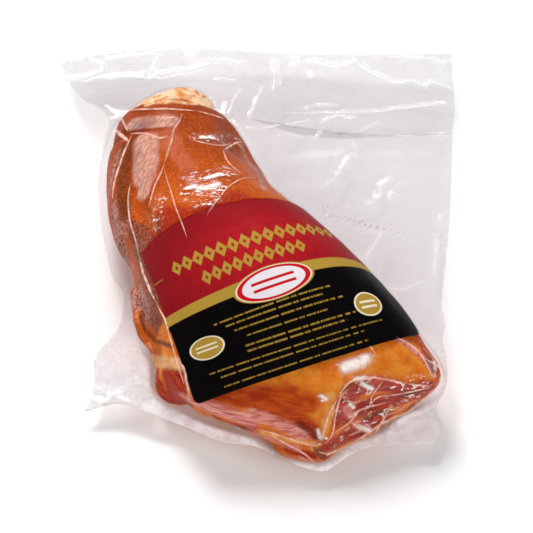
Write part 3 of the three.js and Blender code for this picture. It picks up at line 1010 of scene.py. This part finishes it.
# %% The film's piece
dry_sheen = painted(film_points, film_surface, DRY_SHEEN_FILM, 0.35)
shine = painted(film_points, film_surface, SHINE, 0.8)
rippled = painted(film_points, film_surface, RIPPLED_FILM)
milky = smooth_step(0.9, 2.8, knuckle(film_points, spanned=True)) * (1 - crumpled)
milky = milky * smooth_step(-38, -66, film_points[:, 1])
milky[close] *= smooth_step(2.0, 3.2, beside)
top_strip = smooth_step(78, 100, film_points[:, 1])
front_flap = milky * smooth_step(-66, -80, film_points[:, 1])
dry_sheen = dry_sheen * (0.75 + 0.5 * uneven(film_points, 9.0, 21.0, 2, where=dry_sheen))
near_meat = 1 - smooth_step(2.0, 30.0, knuckle(film_points, spanned=True))

film_piece = mesh_object("bag_film", film_points, film_faces)
keep(film_piece, {
    "free": free,
    "dry_sheen": np.clip(dry_sheen, 0, 1),
    "crease_highlight": crease_highlight,
    "near_meat": near_meat,
    "on_print": on_print,
    "rippled": rippled,
    "milky": milky,
    "shine": shine,
    "front_flap": front_flap,
    "top_strip": top_strip,
    "crumpled": crumpled,
})

# %% [markdown]
# ### Pressed folds
#
# The film gathers in sharp little pleats that stand up from the pack. They are thin closed
# fins with rounded backs, laid along lines of the picture.

# %% Fins along lines
FIN_HALF = [(1.0, -0.25), (0.5, 0.3), (0.16, 0.85)]  # of its section: shares of width and height
FIN_SECTION = [(-x, z) for x, z in FIN_HALF] + [(0.0, 1.0)] + FIN_HALF[::-1]
FIN_STEP = 0.7


def resampled(line, step):
    """A smooth line through points, with points at an even step."""
    line = np.array(line, float)
    length = np.concatenate([[0], np.cumsum(np.linalg.norm(np.diff(line, axis=0), axis=1))])
    curve = curve_through(np.column_stack([length, line]))
    return curve(np.linspace(0, length[-1], max(4, round(length[-1] / step)))).T


def fin(pixels, half_width, height):
    """Points and faces of one pleat that lies along a line of the picture."""
    fine = resampled(pixels, FIN_STEP / PIXEL)
    found = [film_surface.under(pixel) for pixel in fine]
    spots = np.array([spot for spot, _ in found])
    normals = np.array([normal for _, normal in found])
    for _ in range(3):  # evens out the small steps of the mesh
        normals[1:-1] = (normals[:-2] + normals[1:-1] + normals[2:]) / 3
        spots[1:-1] = (spots[:-2] + 2 * spots[1:-1] + spots[2:]) / 4
    normals /= np.linalg.norm(normals, axis=1)[:, None]
    ahead = np.gradient(spots, axis=0)
    sides = np.cross(ahead, normals)
    sides /= np.maximum(np.linalg.norm(sides, axis=1), 1e-9)[:, None]
    share = np.linspace(0, 1, len(spots))
    taper = np.minimum(1, 4.5 * np.minimum(share, 1 - share) + 0.12)[:, None]
    ring = [
        spots + (half_width * a * sides + height * b * normals) * taper - 0.05 * normals
        for a, b in FIN_SECTION
    ]
    count = len(FIN_SECTION)
    points = np.stack(ring, 1).reshape(-1, 3)
    index = np.arange(len(points)).reshape(-1, count)
    turned = np.roll(index, -1, 1)
    quads = np.stack([index[:-1], turned[:-1], turned[1:], index[1:]], -1).reshape(-1, 4)
    ends = [list(index[0][::-1]), list(index[-1])]
    return points, quads.tolist() + ends


# %% The pleats
PLEATS = [
    # half width and height in millimetres, then points of the picture
    (0.85, 0.7, [(114.4, 129), (121, 135), (128.7, 141.2)]),
    (0.51, 0.49, [(131.7, 135), (124.6, 150.4), (119.5, 164.7), (115.4, 178), (112.9, 190),
                  (112.3, 200)]),
    (0.51, 0.42, [(120, 115.7), (127.7, 131)]),
    (0.47, 0.49, [(129.7, 134), (137.9, 133), (148, 133.6), (156, 137), (161, 138), (169, 135.6)]),
    (0.42, 0.49, [(181.7, 112.7), (179.7, 120.8), (173.6, 129), (172, 139), (168.5, 150), (164.4, 163.7)]),
    (0.42, 0.42, [(164.4, 163.7), (160.3, 173.9), (155.2, 184), (152, 194), (149, 207.6)]),
    (0.34, 0.35, [(164.4, 168.8), (166.4, 178), (170.5, 190), (175.6, 207.6), (181.7, 222.9), (186.8, 237)]),
    (0.47, 0.42, [(130.7, 182), (128.2, 195), (128.2, 207.6), (130.2, 223), (134.8, 238), (139.2, 258)]),
    (0.77, 0.56, [(139.2, 258), (143.3, 273.7), (147.3, 284), (151.4, 294), (155.5, 301)]),
    (0.51, 0.42, [(155.5, 301), (159.6, 310), (164.7, 319.6), (171, 342), (178, 366), (184, 384)]),
    (0.34, 0.35, [(207, 214.7), (212, 206.5), (219.5, 197), (226.6, 188), (234.8, 182), (243, 178),
                  (254, 178)]),
    (0.34, 0.35, [(223, 149.4), (226.6, 159.6), (231.7, 165.7), (242, 174)]),
    (0.42, 0.35, [(223.6, 150.4), (234.8, 143.3), (243, 141.2)]),
    (0.42, 0.35, [(194, 140.2), (207, 143.3), (222.6, 145.3), (230.7, 143.3)]),
    (0.42, 0.42, [(184.8, 181), (193, 185), (208, 187), (224.6, 187)]),
    (0.51, 0.42, [(120.5, 114.7), (130.7, 110), (146, 109), (166.4, 108.6), (181.7, 109.6), (197, 110.6)]),
    (0.42, 0.35, [(197, 110.6), (212, 114.7), (225.6, 118.8)]),
    (0.34, 0.35, [(153, 116.7), (166.4, 117.8), (176.6, 116.7)]),
    (0.51, 0.49, [(337.7, 399), (343, 390), (350.4, 381.7), (368.7, 377.6), (384.8, 379.4), (407.8, 384)]),
    (0.42, 0.35, [(407.8, 384), (419, 385.4), (430.7, 386.3)]),
    (0.51, 0.49, [(337.7, 399), (329.7, 412.7), (325, 427), (321.7, 440)]),
    (0.42, 0.42, [(350.4, 387.4), (341.2, 396.6), (335.4, 417), (332, 435.6), (324, 444.8)]),
    (0.42, 0.42, [(367.6, 409), (376.8, 397.7), (391.7, 395.4), (411, 392), (430.7, 387.4)]),
    (0.34, 0.35, [(368.7, 409), (373.3, 394.3), (383.7, 380.5)]),
    (0.42, 0.42, [(334.3, 433), (350.4, 422), (357.3, 411.5), (374, 406), (391.7, 401)]),
    (0.51, 0.56, [(374.5, 434.5), (384.8, 417.3), (391.7, 403.5)]),
    (0.42, 0.42, [(350.4, 422), (359.6, 427.6), (370, 432)]),
    (0.51, 0.56, [(438.8, 385), (426, 397), (411, 410), (384.8, 422), (368.7, 433), (350.4, 444.8)]),
    (0.51, 0.49, [(350.4, 444.8), (339, 450), (327.4, 454), (318.2, 451.7)]),
    (0.42, 0.42, [(422.7, 356.4), (431, 362), (439.9, 368), (441, 376), (439.9, 384)]),
    (0.42, 0.35, [(396.3, 337), (413.5, 347), (423.8, 358.7), (433, 378)]),
    (0.34, 0.28, [(369.9, 346), (373, 350), (375.6, 355.3)]),
    (0.51, 0.49, [(255.7, 429), (271.8, 433), (293, 440), (316, 446), (322.8, 444.8)]),
    (0.42, 0.42, [(270, 434.5), (287.2, 444.8), (304.4, 454), (313.6, 462)]),
    (0.42, 0.42, [(179, 360.4), (184, 368.6), (187, 383), (190.2, 397)]),
    (0.34, 0.35, [(283, 113), (317, 112.6), (370, 112), (389, 110), (417, 106.6), (448, 104)]),
    (0.34, 0.35, [(250, 128), (263, 128.7), (277, 125.4), (309, 120.3)]),
    (0.42, 0.35, [(322, 123), (338, 115.3), (346, 118), (356, 118)]),
]
fin_points, fin_faces = [], []
for half_width, height, line in PLEATS:
    points, faces = fin(line, half_width, height)
    start = sum(len(made) for made in fin_points)
    fin_points.append(points)
    fin_faces += [[corner + start for corner in face] for face in faces]
fin_points = np.concatenate(fin_points)
fin_points[:, 2] = np.maximum(fin_points[:, 2], FREE_HEIGHT)
folds = mesh_object("film_folds", fin_points, fin_faces)
keep(folds, {"near_meat": 1 - smooth_step(1.5, 5.0, knuckle(fin_points))})
print("pleats:", len(PLEATS))

# %% [markdown]
# ## Materials
#
# Every colour is worked out from the place on the object and from the masks that the
# meshes carry. A small class lets the formulas be written as formulas: it holds one output
# of a node, and adding or multiplying two of them makes the node that does so.

# %% Formulas as nodes
def colour(code):
    """A linear colour from its six-digit code on the screen."""
    parts = [int(code[n : n + 2], 16) / 255 for n in (1, 3, 5)]
    return [c / 12.92 if c <= 0.04045 else ((c + 0.055) / 1.055) ** 2.4 for c in parts] + [1.0]


class Field:
    """A value that varies over a surface: one output of one node."""

    def __init__(self, tree, socket=None):
        self.tree, self.socket = tree, socket

    def node(self, kind, settings=None, sockets=None, output=0):
        """A new node: its settings first, then the values or links of its sockets."""
        made = self.tree.nodes.new(kind)
        for name, value in (settings or {}).items():
            setattr(made, name, value)
        for name, value in (sockets or {}).items():
            if isinstance(value, Field):
                self.tree.links.new(value.socket, made.inputs[name])
            else:
                made.inputs[name].default_value = value
        return Field(self.tree, made.outputs[output])

    def maths(self, operation, *values):
        return self.node("ShaderNodeMath", {"operation": operation}, dict(enumerate(values)))

    def __add__(self, other):
        return self.maths("ADD", self, other)

    def __sub__(self, other):
        return self.maths("SUBTRACT", self, other)

    def __mul__(self, other):
        return self.maths("MULTIPLY", self, other)

    def __truediv__(self, other):
        return self.maths("DIVIDE", self, other)

    def __pow__(self, other):
        return self.maths("POWER", self, other)

    def __radd__(self, other):
        return self.maths("ADD", other, self)

    def __rsub__(self, other):
        return self.maths("SUBTRACT", other, self)

    def __rmul__(self, other):
        return self.maths("MULTIPLY", other, self)

    def __rtruediv__(self, other):
        return self.maths("DIVIDE", other, self)

    def most(self, other):
        return self.maths("MAXIMUM", self, other)

    def least(self, other):
        return self.maths("MINIMUM", self, other)

    def size(self):
        return self.maths("ABSOLUTE", self)

    def step(self, low, high):
        """0 below low, 1 above high, and smooth between; low may be the greater."""
        ends = {"From Min": low, "From Max": high}
        return self.node(
            "ShaderNodeMapRange", {"interpolation_type": "SMOOTHSTEP"}, {"Value": self, **ends}
        )

    def choose(self, *colours):
        """The first colour where this is 0, the second where it is 1."""
        first, second = (colour(c) if isinstance(c, str) else c for c in colours)
        return self.node(
            "ShaderNodeMix", {"data_type": "RGBA"}, {0: self, 6: first, 7: second}, output=2
        )

    def mask(self, name):
        return self.node("ShaderNodeAttribute", {"attribute_name": name}, output="Fac")

    def scaled(self, x, y, z):
        """This vector with its parts multiplied."""
        return self.node("ShaderNodeVectorMath", {"operation": "MULTIPLY"}, {0: self, 1: (x, y, z)})

    def grain(self, size, detail=2.0, roughness=0.5, distortion=0.0):
        """Noise from 0 to 1 with lumps of a size, in the units of this vector."""
        lumps = {"Scale": 1 / size, "Detail": detail, "Roughness": roughness}
        sockets = {"Vector": self, **lumps, "Distortion": distortion}
        return self.node("ShaderNodeTexNoise", sockets=sockets)

    def turned(self, angle):
        """This vector turned about the upright axis."""
        return self.node("ShaderNodeVectorRotate", {"rotation_type": "Z_AXIS"}, {0: self, 3: angle})

    def bumped(self, height):
        """A normal from a height in millimetres."""
        return self.node("ShaderNodeBump", sockets={"Height": self, "Distance": height * MM})

    def principled(self, sockets):
        return self.node("ShaderNodeBsdfPrincipled", sockets=sockets)


def new_material(name):
    """A material's tree, its output node, and places on the object in millimetres."""
    made = bpy.data.materials.new(name)
    made.use_nodes = True
    tree = made.node_tree
    tree.nodes.clear()
    output = tree.nodes.new("ShaderNodeOutputMaterial")
    place = Field(tree).node("ShaderNodeTexCoord", output="Object")
    return made, output, place.scaled(1 / MM, 1 / MM, 1 / MM)


def dress(piece, made, output, surface):
    """Ends a material with its surface, and puts it on a piece."""
    surface.tree.links.new(surface.socket, output.inputs["Surface"])
    piece.data.materials.append(made)
    print(made.name, "has", len(surface.tree.nodes), "nodes")


# %% [markdown]
# ### The meat's material
#
# Smoked rind is a deep amber brown, redder low on the leg, with a fine grain. The knob at
# the bone end is pale fat and gristle stained orange. On the butt the fat is orange gold
# and the lean mahogany, in streaks.

# %% Grain and fibres
meat_material, output, place = new_material("smoked_meat")
broad = place.grain(19.0, 3.0)
medium = place.grain(6.0, 3.0)
fine = place.grain(1.1, 3.0, 0.6)
# fibres run along each end face, so those of the two faces are turned apart
left_fibres, right_fibres = (
    place.turned(turn).scaled(0.12, 0.7, 0.9).grain(1.3, 3.0, 0.6, 0.3) for turn in (0.3, -0.38)
)
right_end = place.mask("right_end")
fibres = left_fibres * (1.0 - right_end) + right_fibres * right_end
print("nodes for grain and fibres:", len(place.tree.nodes))

# %% Rind
rind = broad.step(0.35, 0.68).choose("#c2520c", "#d66616")
rind = place.mask("smoked").choose(rind, broad.step(0.3, 0.7).choose("#903404", "#a4420a"))
rind = place.mask("red_rind").choose(rind, "#b23009")
rind = (0.6 * fine.step(0.52, 0.34)).choose(rind, "#862a02")
rind = (0.45 * fine.step(0.56, 0.72)).choose(rind, "#e88848")
# dusky rind, partly painted shade in the hollow over the lip
dusky = fine.step(0.36, 0.64).choose("#74300f", "#a8604a")
rind = place.mask("dusky_rind_and_hollow_shade").choose(rind, dusky)
# pale speckled skin, which along the outlines is a painted sheen
skin = (0.4 * medium + fine).step(0.56, 0.82).choose("#803820", "#c89488")
rind = (0.9 * place.mask("pale_skin_and_edge_sheen")).choose(rind, skin)
print("nodes with the rind's:", len(place.tree.nodes))

# %% The butt's fat and lean, and the knob
fat = medium.step(0.35, 0.7).choose("#f07e1c", "#fca036")
fat = (0.6 * place.grain(9.0, 3.0, 0.6, 0.6).step(0.5, 0.7)).choose(fat, "#dc640a")
fat = (0.4 * fine.step(0.5, 0.68)).choose(fat, "#d46410")
mahogany = fibres.step(0.3, 0.7).choose("#ae3204", "#d6580e")
fat = place.mask("mahogany").choose(fat, mahogany)
lean = fibres.step(0.38, 0.64).choose("#981c08", "#d04424")
lean = (0.6 * medium.step(0.5, 0.68)).choose(lean, "#bc300e")
pink = fibres.step(0.36, 0.66).choose("#d4665a", "#f8b0a2")
butt = place.mask("lean").choose(fat, lean)
butt = place.mask("pale_lean").choose(butt, pink)
gold_fat = medium.step(0.3, 0.7).choose("#e88a34", "#f8b868")
butt = place.mask("gold_fat").choose(butt, gold_fat)
side_fat = medium.step(0.35, 0.65).choose("#e8a460", "#fcca90")
butt = place.mask("side_fat").choose(butt, side_fat)
butt = (0.85 * place.mask("veins")).choose(butt, "#ecb89c")
# painted shade in the hollows of the cut lean
butt = (0.65 * place.mask("shaded_hollows")).choose(butt, "#5a1806")

knob = medium.step(0.3, 0.55).choose("#e49a48", "#fad6ae")
knob = (0.85 * place.grain(5.0, 3.0, 0.6, 0.8).step(0.48, 0.6)).choose(knob, "#d67624")

# %% The meat's surface
base = place.mask("bare").choose(rind, butt)
lip = fine.step(0.3, 0.7).choose("#bc4e10", "#fca25c")
base = place.mask("lip").choose(base, lip)
# darker rind, partly painted shade in grooves
dark = fine.step(0.3, 0.7).choose("#6e2a08", "#984818")
base = place.mask("dark_rind_and_groove_shade").choose(base, dark)
base = place.mask("gristle").choose(base, knob)
relief = 0.9 * fine + 0.9 * fibres * place.mask("bare") + 0.5 * medium
surface = place.principled({
    "Base Color": base,
    "Roughness": 0.4 + 0.25 * medium,
    "Normal": relief.bumped(0.5),
    "Specular IOR Level": 0.06,
})
dress(meat, meat_material, output, surface)

# %% [markdown]
# ### The label's print
#
# Crimson over near-black, with a gold band between them and an oval plaque on the band.
# Everything on it is a plain field or shape: gold lozenges and bars stand in the places of
# the headline and the small print.

# %% Fields of colour
print_material, output, place = new_material("label_print")
across, up = place.mask("across"), place.mask("up")
GOLD = colour("#b3903a")
CREAM = colour("#efe6cc")
EDGE = 0.14  # softness of every printed shape, in millimetres
BAND = (-4.3, 0.6)  # of gold, from and to


def within(value, low, high):
    """1 where a value lies between two others."""
    return value.step(low - EDGE, low + EDGE) * value.step(high + EDGE, high - EDGE)


def oval(x, y, wide, tall):
    """How far a place is from an oval's middle, 1 on its edge."""
    return (((across - x) / wide) ** 2.0 + ((up - y) / tall) ** 2.0) ** 0.5


def inside(distance, limit, size):
    """1 where a share of a shape's size, which is about size millimetres, is under a limit."""
    return distance.step(limit + EDGE / size, limit - EDGE / size)


mottle = place.grain(5.0, 4.0, 0.6)
# painted sheen: the crimson is lighter in an oval round the middle
painted_glow = oval(2.0, 12.0, 44.0, 26.0).step(1.2, 0.1)
crimson = painted_glow.choose("#8a141c", "#b81d24")
crimson = (0.3 * mottle.step(0.45, 0.75)).choose(crimson, "#7c1219")
crimson = (0.35 * place.grain(1.5, 3.0, 0.6).step(0.46, 0.62)).choose(crimson, "#8c1018")
ground = up.step(BAND[0] + EDGE, BAND[0] - EDGE).choose(crimson, "#080606")
ground = within(up, *BAND).choose(ground, GOLD)
print("nodes for the fields:", len(place.tree.nodes))

# %% Headline: two rows of open lozenges, arched a little
arch = up - 13.6 - 3.4 * ((across - 3.0) / 41.0) ** 2.0


def lozenges(row, low, high, pitch, tall):
    """A row of lozenges with open middles between two places along the label."""
    along = across.maths("PINGPONG", across + 200.0, pitch / 2) - pitch / 4
    from_middle = along.size() / (pitch / 4) + row.size() / tall
    ring = inside(from_middle, 1.0, 3.0) - inside(from_middle, 0.3, 3.0)
    return ring * within(across, low, high)


headline = lozenges(arch - 3.2, -35.0, 40.0, 10.0, 3.9)
headline = headline.most(lozenges(up - 8.2, -24.5, 20.5, 9.0, 3.5))
rules = within(arch, 1.6, 2.1) * within(across.size(), 40.5, 46.0)
headline = headline.most(rules)
print("nodes with the headline's:", len(place.tree.nodes))

# %% Small print: rows of short bars
SMALL_PRINT = [
    # up, from, to, height
    (-12.5, -27, 23, 0.75),
    (-15.0, -22.6, 18.6, 0.75),
    (-18.0, -20, 26, 0.75),
    (-21.6, -16, 18, 0.65),
    (-25.5, -18, 29, 0.8),
    (-27.8, -18, 24, 0.8),
    (-31.6, -36, 38, 0.6),
    (-34.2, -32, 29, 0.6),
    (-38.2, -32, 29, 0.6),
]
words = across.node("ShaderNodeTexNoise", {"noise_dimensions": "1D"}, {"W": across, "Scale": 0.62})
gaps = across.node("ShaderNodeTexNoise", {"noise_dimensions": "1D"}, {"W": across, "Scale": 2.3})
small_print = None
for row, low, high, tall in SMALL_PRINT:
    bar = within(up, row - tall / 2, row + tall / 2) * within(across, low, high)
    small_print = bar if small_print is None else small_print.most(bar)
small_print = small_print * words.step(0.4, 0.44) * gaps.step(0.36, 0.44)
marks = headline.most(0.85 * small_print)
ground = marks.choose(ground, GOLD)
print("nodes with the small print's:", len(place.tree.nodes))

# %% Plaque and two badges: ovals of rings, each with a pair of bars
RED = colour("#c8161d")
PLAQUE_RINGS = ((1.0, GOLD), (0.95, CREAM), (0.91, RED), (0.78, colour("#ece6e8")))
OVALS = [
    # x, y, half width, half height, mean size, rings, the bars' near edge, far edge, half length, tone
    (2.0, -4.3, 17.0, 7.3, 11.0, PLAQUE_RINGS, 0.9, 2.1, 9.0, RED),
    (-33.2, -21.0, 7.8, 5.0, 6.0, ((1.0, CREAM), (0.9, GOLD)), 0.6, 1.3, 4.8, CREAM),
    (35.4, -23.4, 6.2, 5.6, 6.0, ((1.0, CREAM), (0.88, GOLD)), 0.7, 1.7, 3.6, CREAM),
]
for x, y, wide, tall, size, rings, near, far, half_length, bar_tone in OVALS:
    shape = oval(x, y, wide, tall)
    for limit, tone in rings:
        ground = inside(shape, limit, size).choose(ground, tone)
    bars = within((up - y).size(), near, far) * within((across - x).size(), -1.0, half_length)
    ground = bars.choose(ground, bar_tone)

surface = place.principled({
    "Base Color": ground,
    "Roughness": 0.42 + 0.1 * mottle,
    "Normal": place.grain(7.0, 2.0).bumped(0.3),
    "Specular IOR Level": 0.05,
})
dress(label, print_material, output, surface)

# %% [markdown]
# ### The film's material
#
# Clear film lets light through and mirrors a little of it, more at a slant. A thin share of
# haze, most on folds and dry places, scatters it as milk does; part of that haze is painted
# light: highlights on folds, glints, and a sheen on the dry places. The mirror and the haze are
# one shader, whose metallic share is the mirror's share of the two.

# %% What a film's look is made of
def film_material(piece, name, clear, painted_glow, look):
    """Film from the colour of what passes, the strength of its own light, and its look."""
    made, output, place = new_material(name)
    crinkle = place.scaled(0.8, 1.0, 1.0).grain(4.5, 3.0, 0.55, 0.8)
    ripple = place.scaled(0.4, 1.0, 1.0).grain(1.5, 2.0)
    tint, haze, waves, rough, facing, slanted, light = look(place, crinkle, ripple)
    bump = waves.bumped(1.0)
    slant = place.node("ShaderNodeLayerWeight", {}, {"Blend": 0.5, "Normal": bump}, "Facing")
    mirror = (facing + slanted * slant**4.5) * (1.0 - 0.92 * place.mask("on_print"))
    surface = place.principled({
        "Base Color": tint,
        "Metallic": mirror / (mirror + haze),
        "Roughness": rough,
        "Normal": bump,
        "Specular IOR Level": 0.0,
        "Emission Color": light,
        "Emission Strength": painted_glow,
    })
    through = place.node("ShaderNodeBsdfTransparent", {}, {"Color": clear})
    share = (mirror + haze).least(1.0)
    mixed = place.node("ShaderNodeMixShader", {}, {0: share, 1: through, 2: surface})
    dress(piece, made, output, mixed)


# %% [markdown]
# ### The clear skin
#
# Wet film on meat sparkles: short streaks lie on fine wrinkles, jagged ones on crumples, and
# a few soft spots where it is smooth. They are painted as haze, because lamps small enough
# to give them would need thousands of samples. The milky flaps in front also give a little
# light of their own, for what passes through them from behind, which a thin skin can't show.

# %% Clear film
def glints(place):
    """White sparks, from 0 to 1."""
    streaks = place.scaled(0.4, 1.0, 1.0).grain(1.4, 2.0, 0.5, 0.6).step(0.56, 0.66)
    sparks = place.scaled(0.7, 1.0, 1.0).grain(2.6, 2.0, 0.5, 1.2).step(0.62, 0.68)
    spot = place.mask("shine") * place.grain(3.2, 2.0, 0.5, 0.6).step(0.2, 0.42)
    return (place.mask("rippled") * streaks + place.mask("crumpled") * sparks).most(spot)


def skin_look(place, crinkle, ripple):
    """Tint, haze, waves, roughness, mirror when faced and at a slant, and light."""
    free, rippled, crumpled = place.mask("free"), place.mask("rippled"), place.mask("crumpled")
    dry_sheen, milky, on_print = place.mask("dry_sheen"), place.mask("milky"), place.mask("on_print")
    crease_highlight, top_strip = place.mask("crease_highlight"), place.mask("top_strip")
    sparks = glints(place)

    # over and near the meat the skin is tinted pink, which is painted light from the meat
    tint = place.mask("near_meat").choose("#f4f0f3", "#fae8e8")
    tint = milky.choose(tint, "#f3edee")
    tint = top_strip.choose(tint, "#d2ced0")
    # folds of the free sheet: white, partly a painted highlight
    tint = crease_highlight.choose(tint, "#ffffff")
    # pinkish white of dry film, partly a painted sheen
    tint = dry_sheen.choose(tint, "#ffcab0")
    tint = sparks.choose(tint, "#fff6ee")

    hatch = place.turned(0.6).scaled(1.0, 0.4, 0.8).grain(1.1, 2.0, 0.6).step(0.42, 0.6)
    haze = 0.004 + 0.03 * free * crinkle.step(0.4, 0.7)
    # haze of dry film, partly a painted sheen; the sparks are painted glints
    haze = haze + dry_sheen * (0.32 + 0.24 * hatch) + 0.85 * sparks
    haze = haze + 0.2 * crease_highlight**2.0 + 0.15 * top_strip
    haze = haze + milky * (0.5 + 0.4 * crinkle.step(0.3, 0.7))
    haze = haze * (1.0 - 0.95 * on_print)

    waves = (0.1 + 0.3 * rippled) * crinkle + (0.02 + 0.5 * rippled) * ripple
    waves = waves + 1.5 * crumpled * place.grain(2.6, 2.0, 0.5, 0.5) + 0.6 * milky * crinkle
    waves = waves * (1.0 - 0.9 * on_print)

    rough = 0.07 + 0.05 * ripple + 0.2 * dry_sheen
    facing = 0.002 + 0.038 * free + 0.03 * rippled + 0.04 * crumpled
    light = place.mask("front_flap").choose("#000000", "#f4e8ea")
    return tint, haze, waves, rough, facing, 0.28, light


film_material(film_piece, "clear_film", (0.927, 0.918, 0.923, 1.0), 0.15, skin_look)


# %% [markdown]
# ### The pleats
#
# A pleat is film folded over and over, so it is whiter than the skin: more haze, a warm tint
# over the meat that is painted light from the meat, and some light of its own for what it
# passes on from behind.

# %% Folded film
def fold_look(place, crinkle, ripple):
    """The same seven as for the skin."""
    # over the meat a pleat is tinted warm, which is painted light from the meat
    tint = place.mask("near_meat").choose("#ffffff", "#ffd8c2")
    haze = 0.2 + 0.3 * crinkle.step(0.4, 0.65)
    waves = 0.3 * crinkle + 0.05 * ripple
    return tint, haze, waves, 0.12 + 0.1 * ripple, 0.03, 0.08, tint


film_material(folds, "folded_film", (1.0, 0.99, 0.985, 1.0), 0.22, fold_look)

# %% [markdown]
# ## The studio
#
# A white floor, an even white sky and soft boxes. Three light the pack: a strong one high
# behind it, whose soft shadow falls towards us, a weaker one at its left and a broad one in
# front. Film would mirror boxes as large as these, so glossy rays don't see them. The gloss
# comes from four small ones: two behind, which the wet top of the leg mirrors, one in front
# at the right for the butt, and one low at the left for the flank.

# %% Floor
HALF_FLOOR = 3.0  # in metres
FLOOR_HEIGHT = -0.0002  # just under the pack, so that no two faces share a plane
floor_mesh = bpy.data.meshes.new("floor")
signs = ((-1, -1), (1, -1), (1, 1), (-1, 1))
corners = [(x * HALF_FLOOR, y * HALF_FLOOR, FLOOR_HEIGHT) for x, y in signs]
floor_mesh.from_pydata(corners, [], [[0, 1, 2, 3]])
floor = bpy.data.objects.new("floor", floor_mesh)
bpy.context.scene.collection.objects.link(floor)
floor_material, output, place = new_material("floor_paper")
surface = place.principled({
    "Base Color": place.grain(400.0).choose("#f7f7f7", "#f9f9f9"),
    "Roughness": 0.9,
    "Specular IOR Level": 0.1,
})
dress(floor, floor_material, output, surface)


# %% Lights
def soft_box(name, azimuth, elevation, distance, wide, tall, power, mirrored=True):
    """A rectangular light aimed at the pack. Azimuth 0 is behind it, and 90 at its left."""
    data = bpy.data.lights.new(name, "AREA")
    data.shape = "RECTANGLE"
    data.size, data.size_y = wide, tall
    data.energy = power
    box = bpy.data.objects.new(name, data)
    a, e = math.radians(azimuth), math.radians(elevation)
    aim = Vector((-math.sin(a) * math.cos(e), math.cos(a) * math.cos(e), math.sin(e)))
    box.location = distance * aim
    box.rotation_euler = aim.to_track_quat("Z", "Y").to_euler()
    box.visible_glossy = mirrored
    bpy.context.scene.collection.objects.link(box)


soft_box("key_box", 22, 60, 1.2, 0.34, 0.34, 9.2, mirrored=False)
soft_box("left_box", 78, 38, 1.2, 0.5, 0.4, 2.4, mirrored=False)
soft_box("fill_box", -165, 45, 1.3, 0.9, 0.6, 2.0, mirrored=False)
soft_box("back_box", 11, 31, 1.2, 0.3, 0.2, 2.8)
soft_box("glint_box", -4, 46, 1.2, 0.14, 0.1, 0.7)
soft_box("front_box", -150, 36, 1.2, 0.3, 0.24, 3.6)
soft_box("flank_box", 48, 15, 1.2, 0.5, 0.3, 1.5)

world = bpy.data.worlds.new("studio")
world.use_nodes = True
world.node_tree.nodes["Background"].inputs["Color"].default_value = (1.0, 1.0, 1.0, 1.0)
world.node_tree.nodes["Background"].inputs["Strength"].default_value = 0.25
bpy.context.scene.world = world
bpy.context.scene.view_settings.view_transform = "Standard"

# %% [markdown]
# ## The pieces on the body
#
# Each piece rides on the one body and stands for its solid, which is hidden.

# %% Pieces on the body
for piece, node, slot in (
    (meat, "knuckle", "meat"),
    (film_piece, "vacuum_bag", "film"),
    (folds, "vacuum_bag", "film"),
    (label, "label", "label"),
):
    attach(piece, "root")
    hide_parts(node)
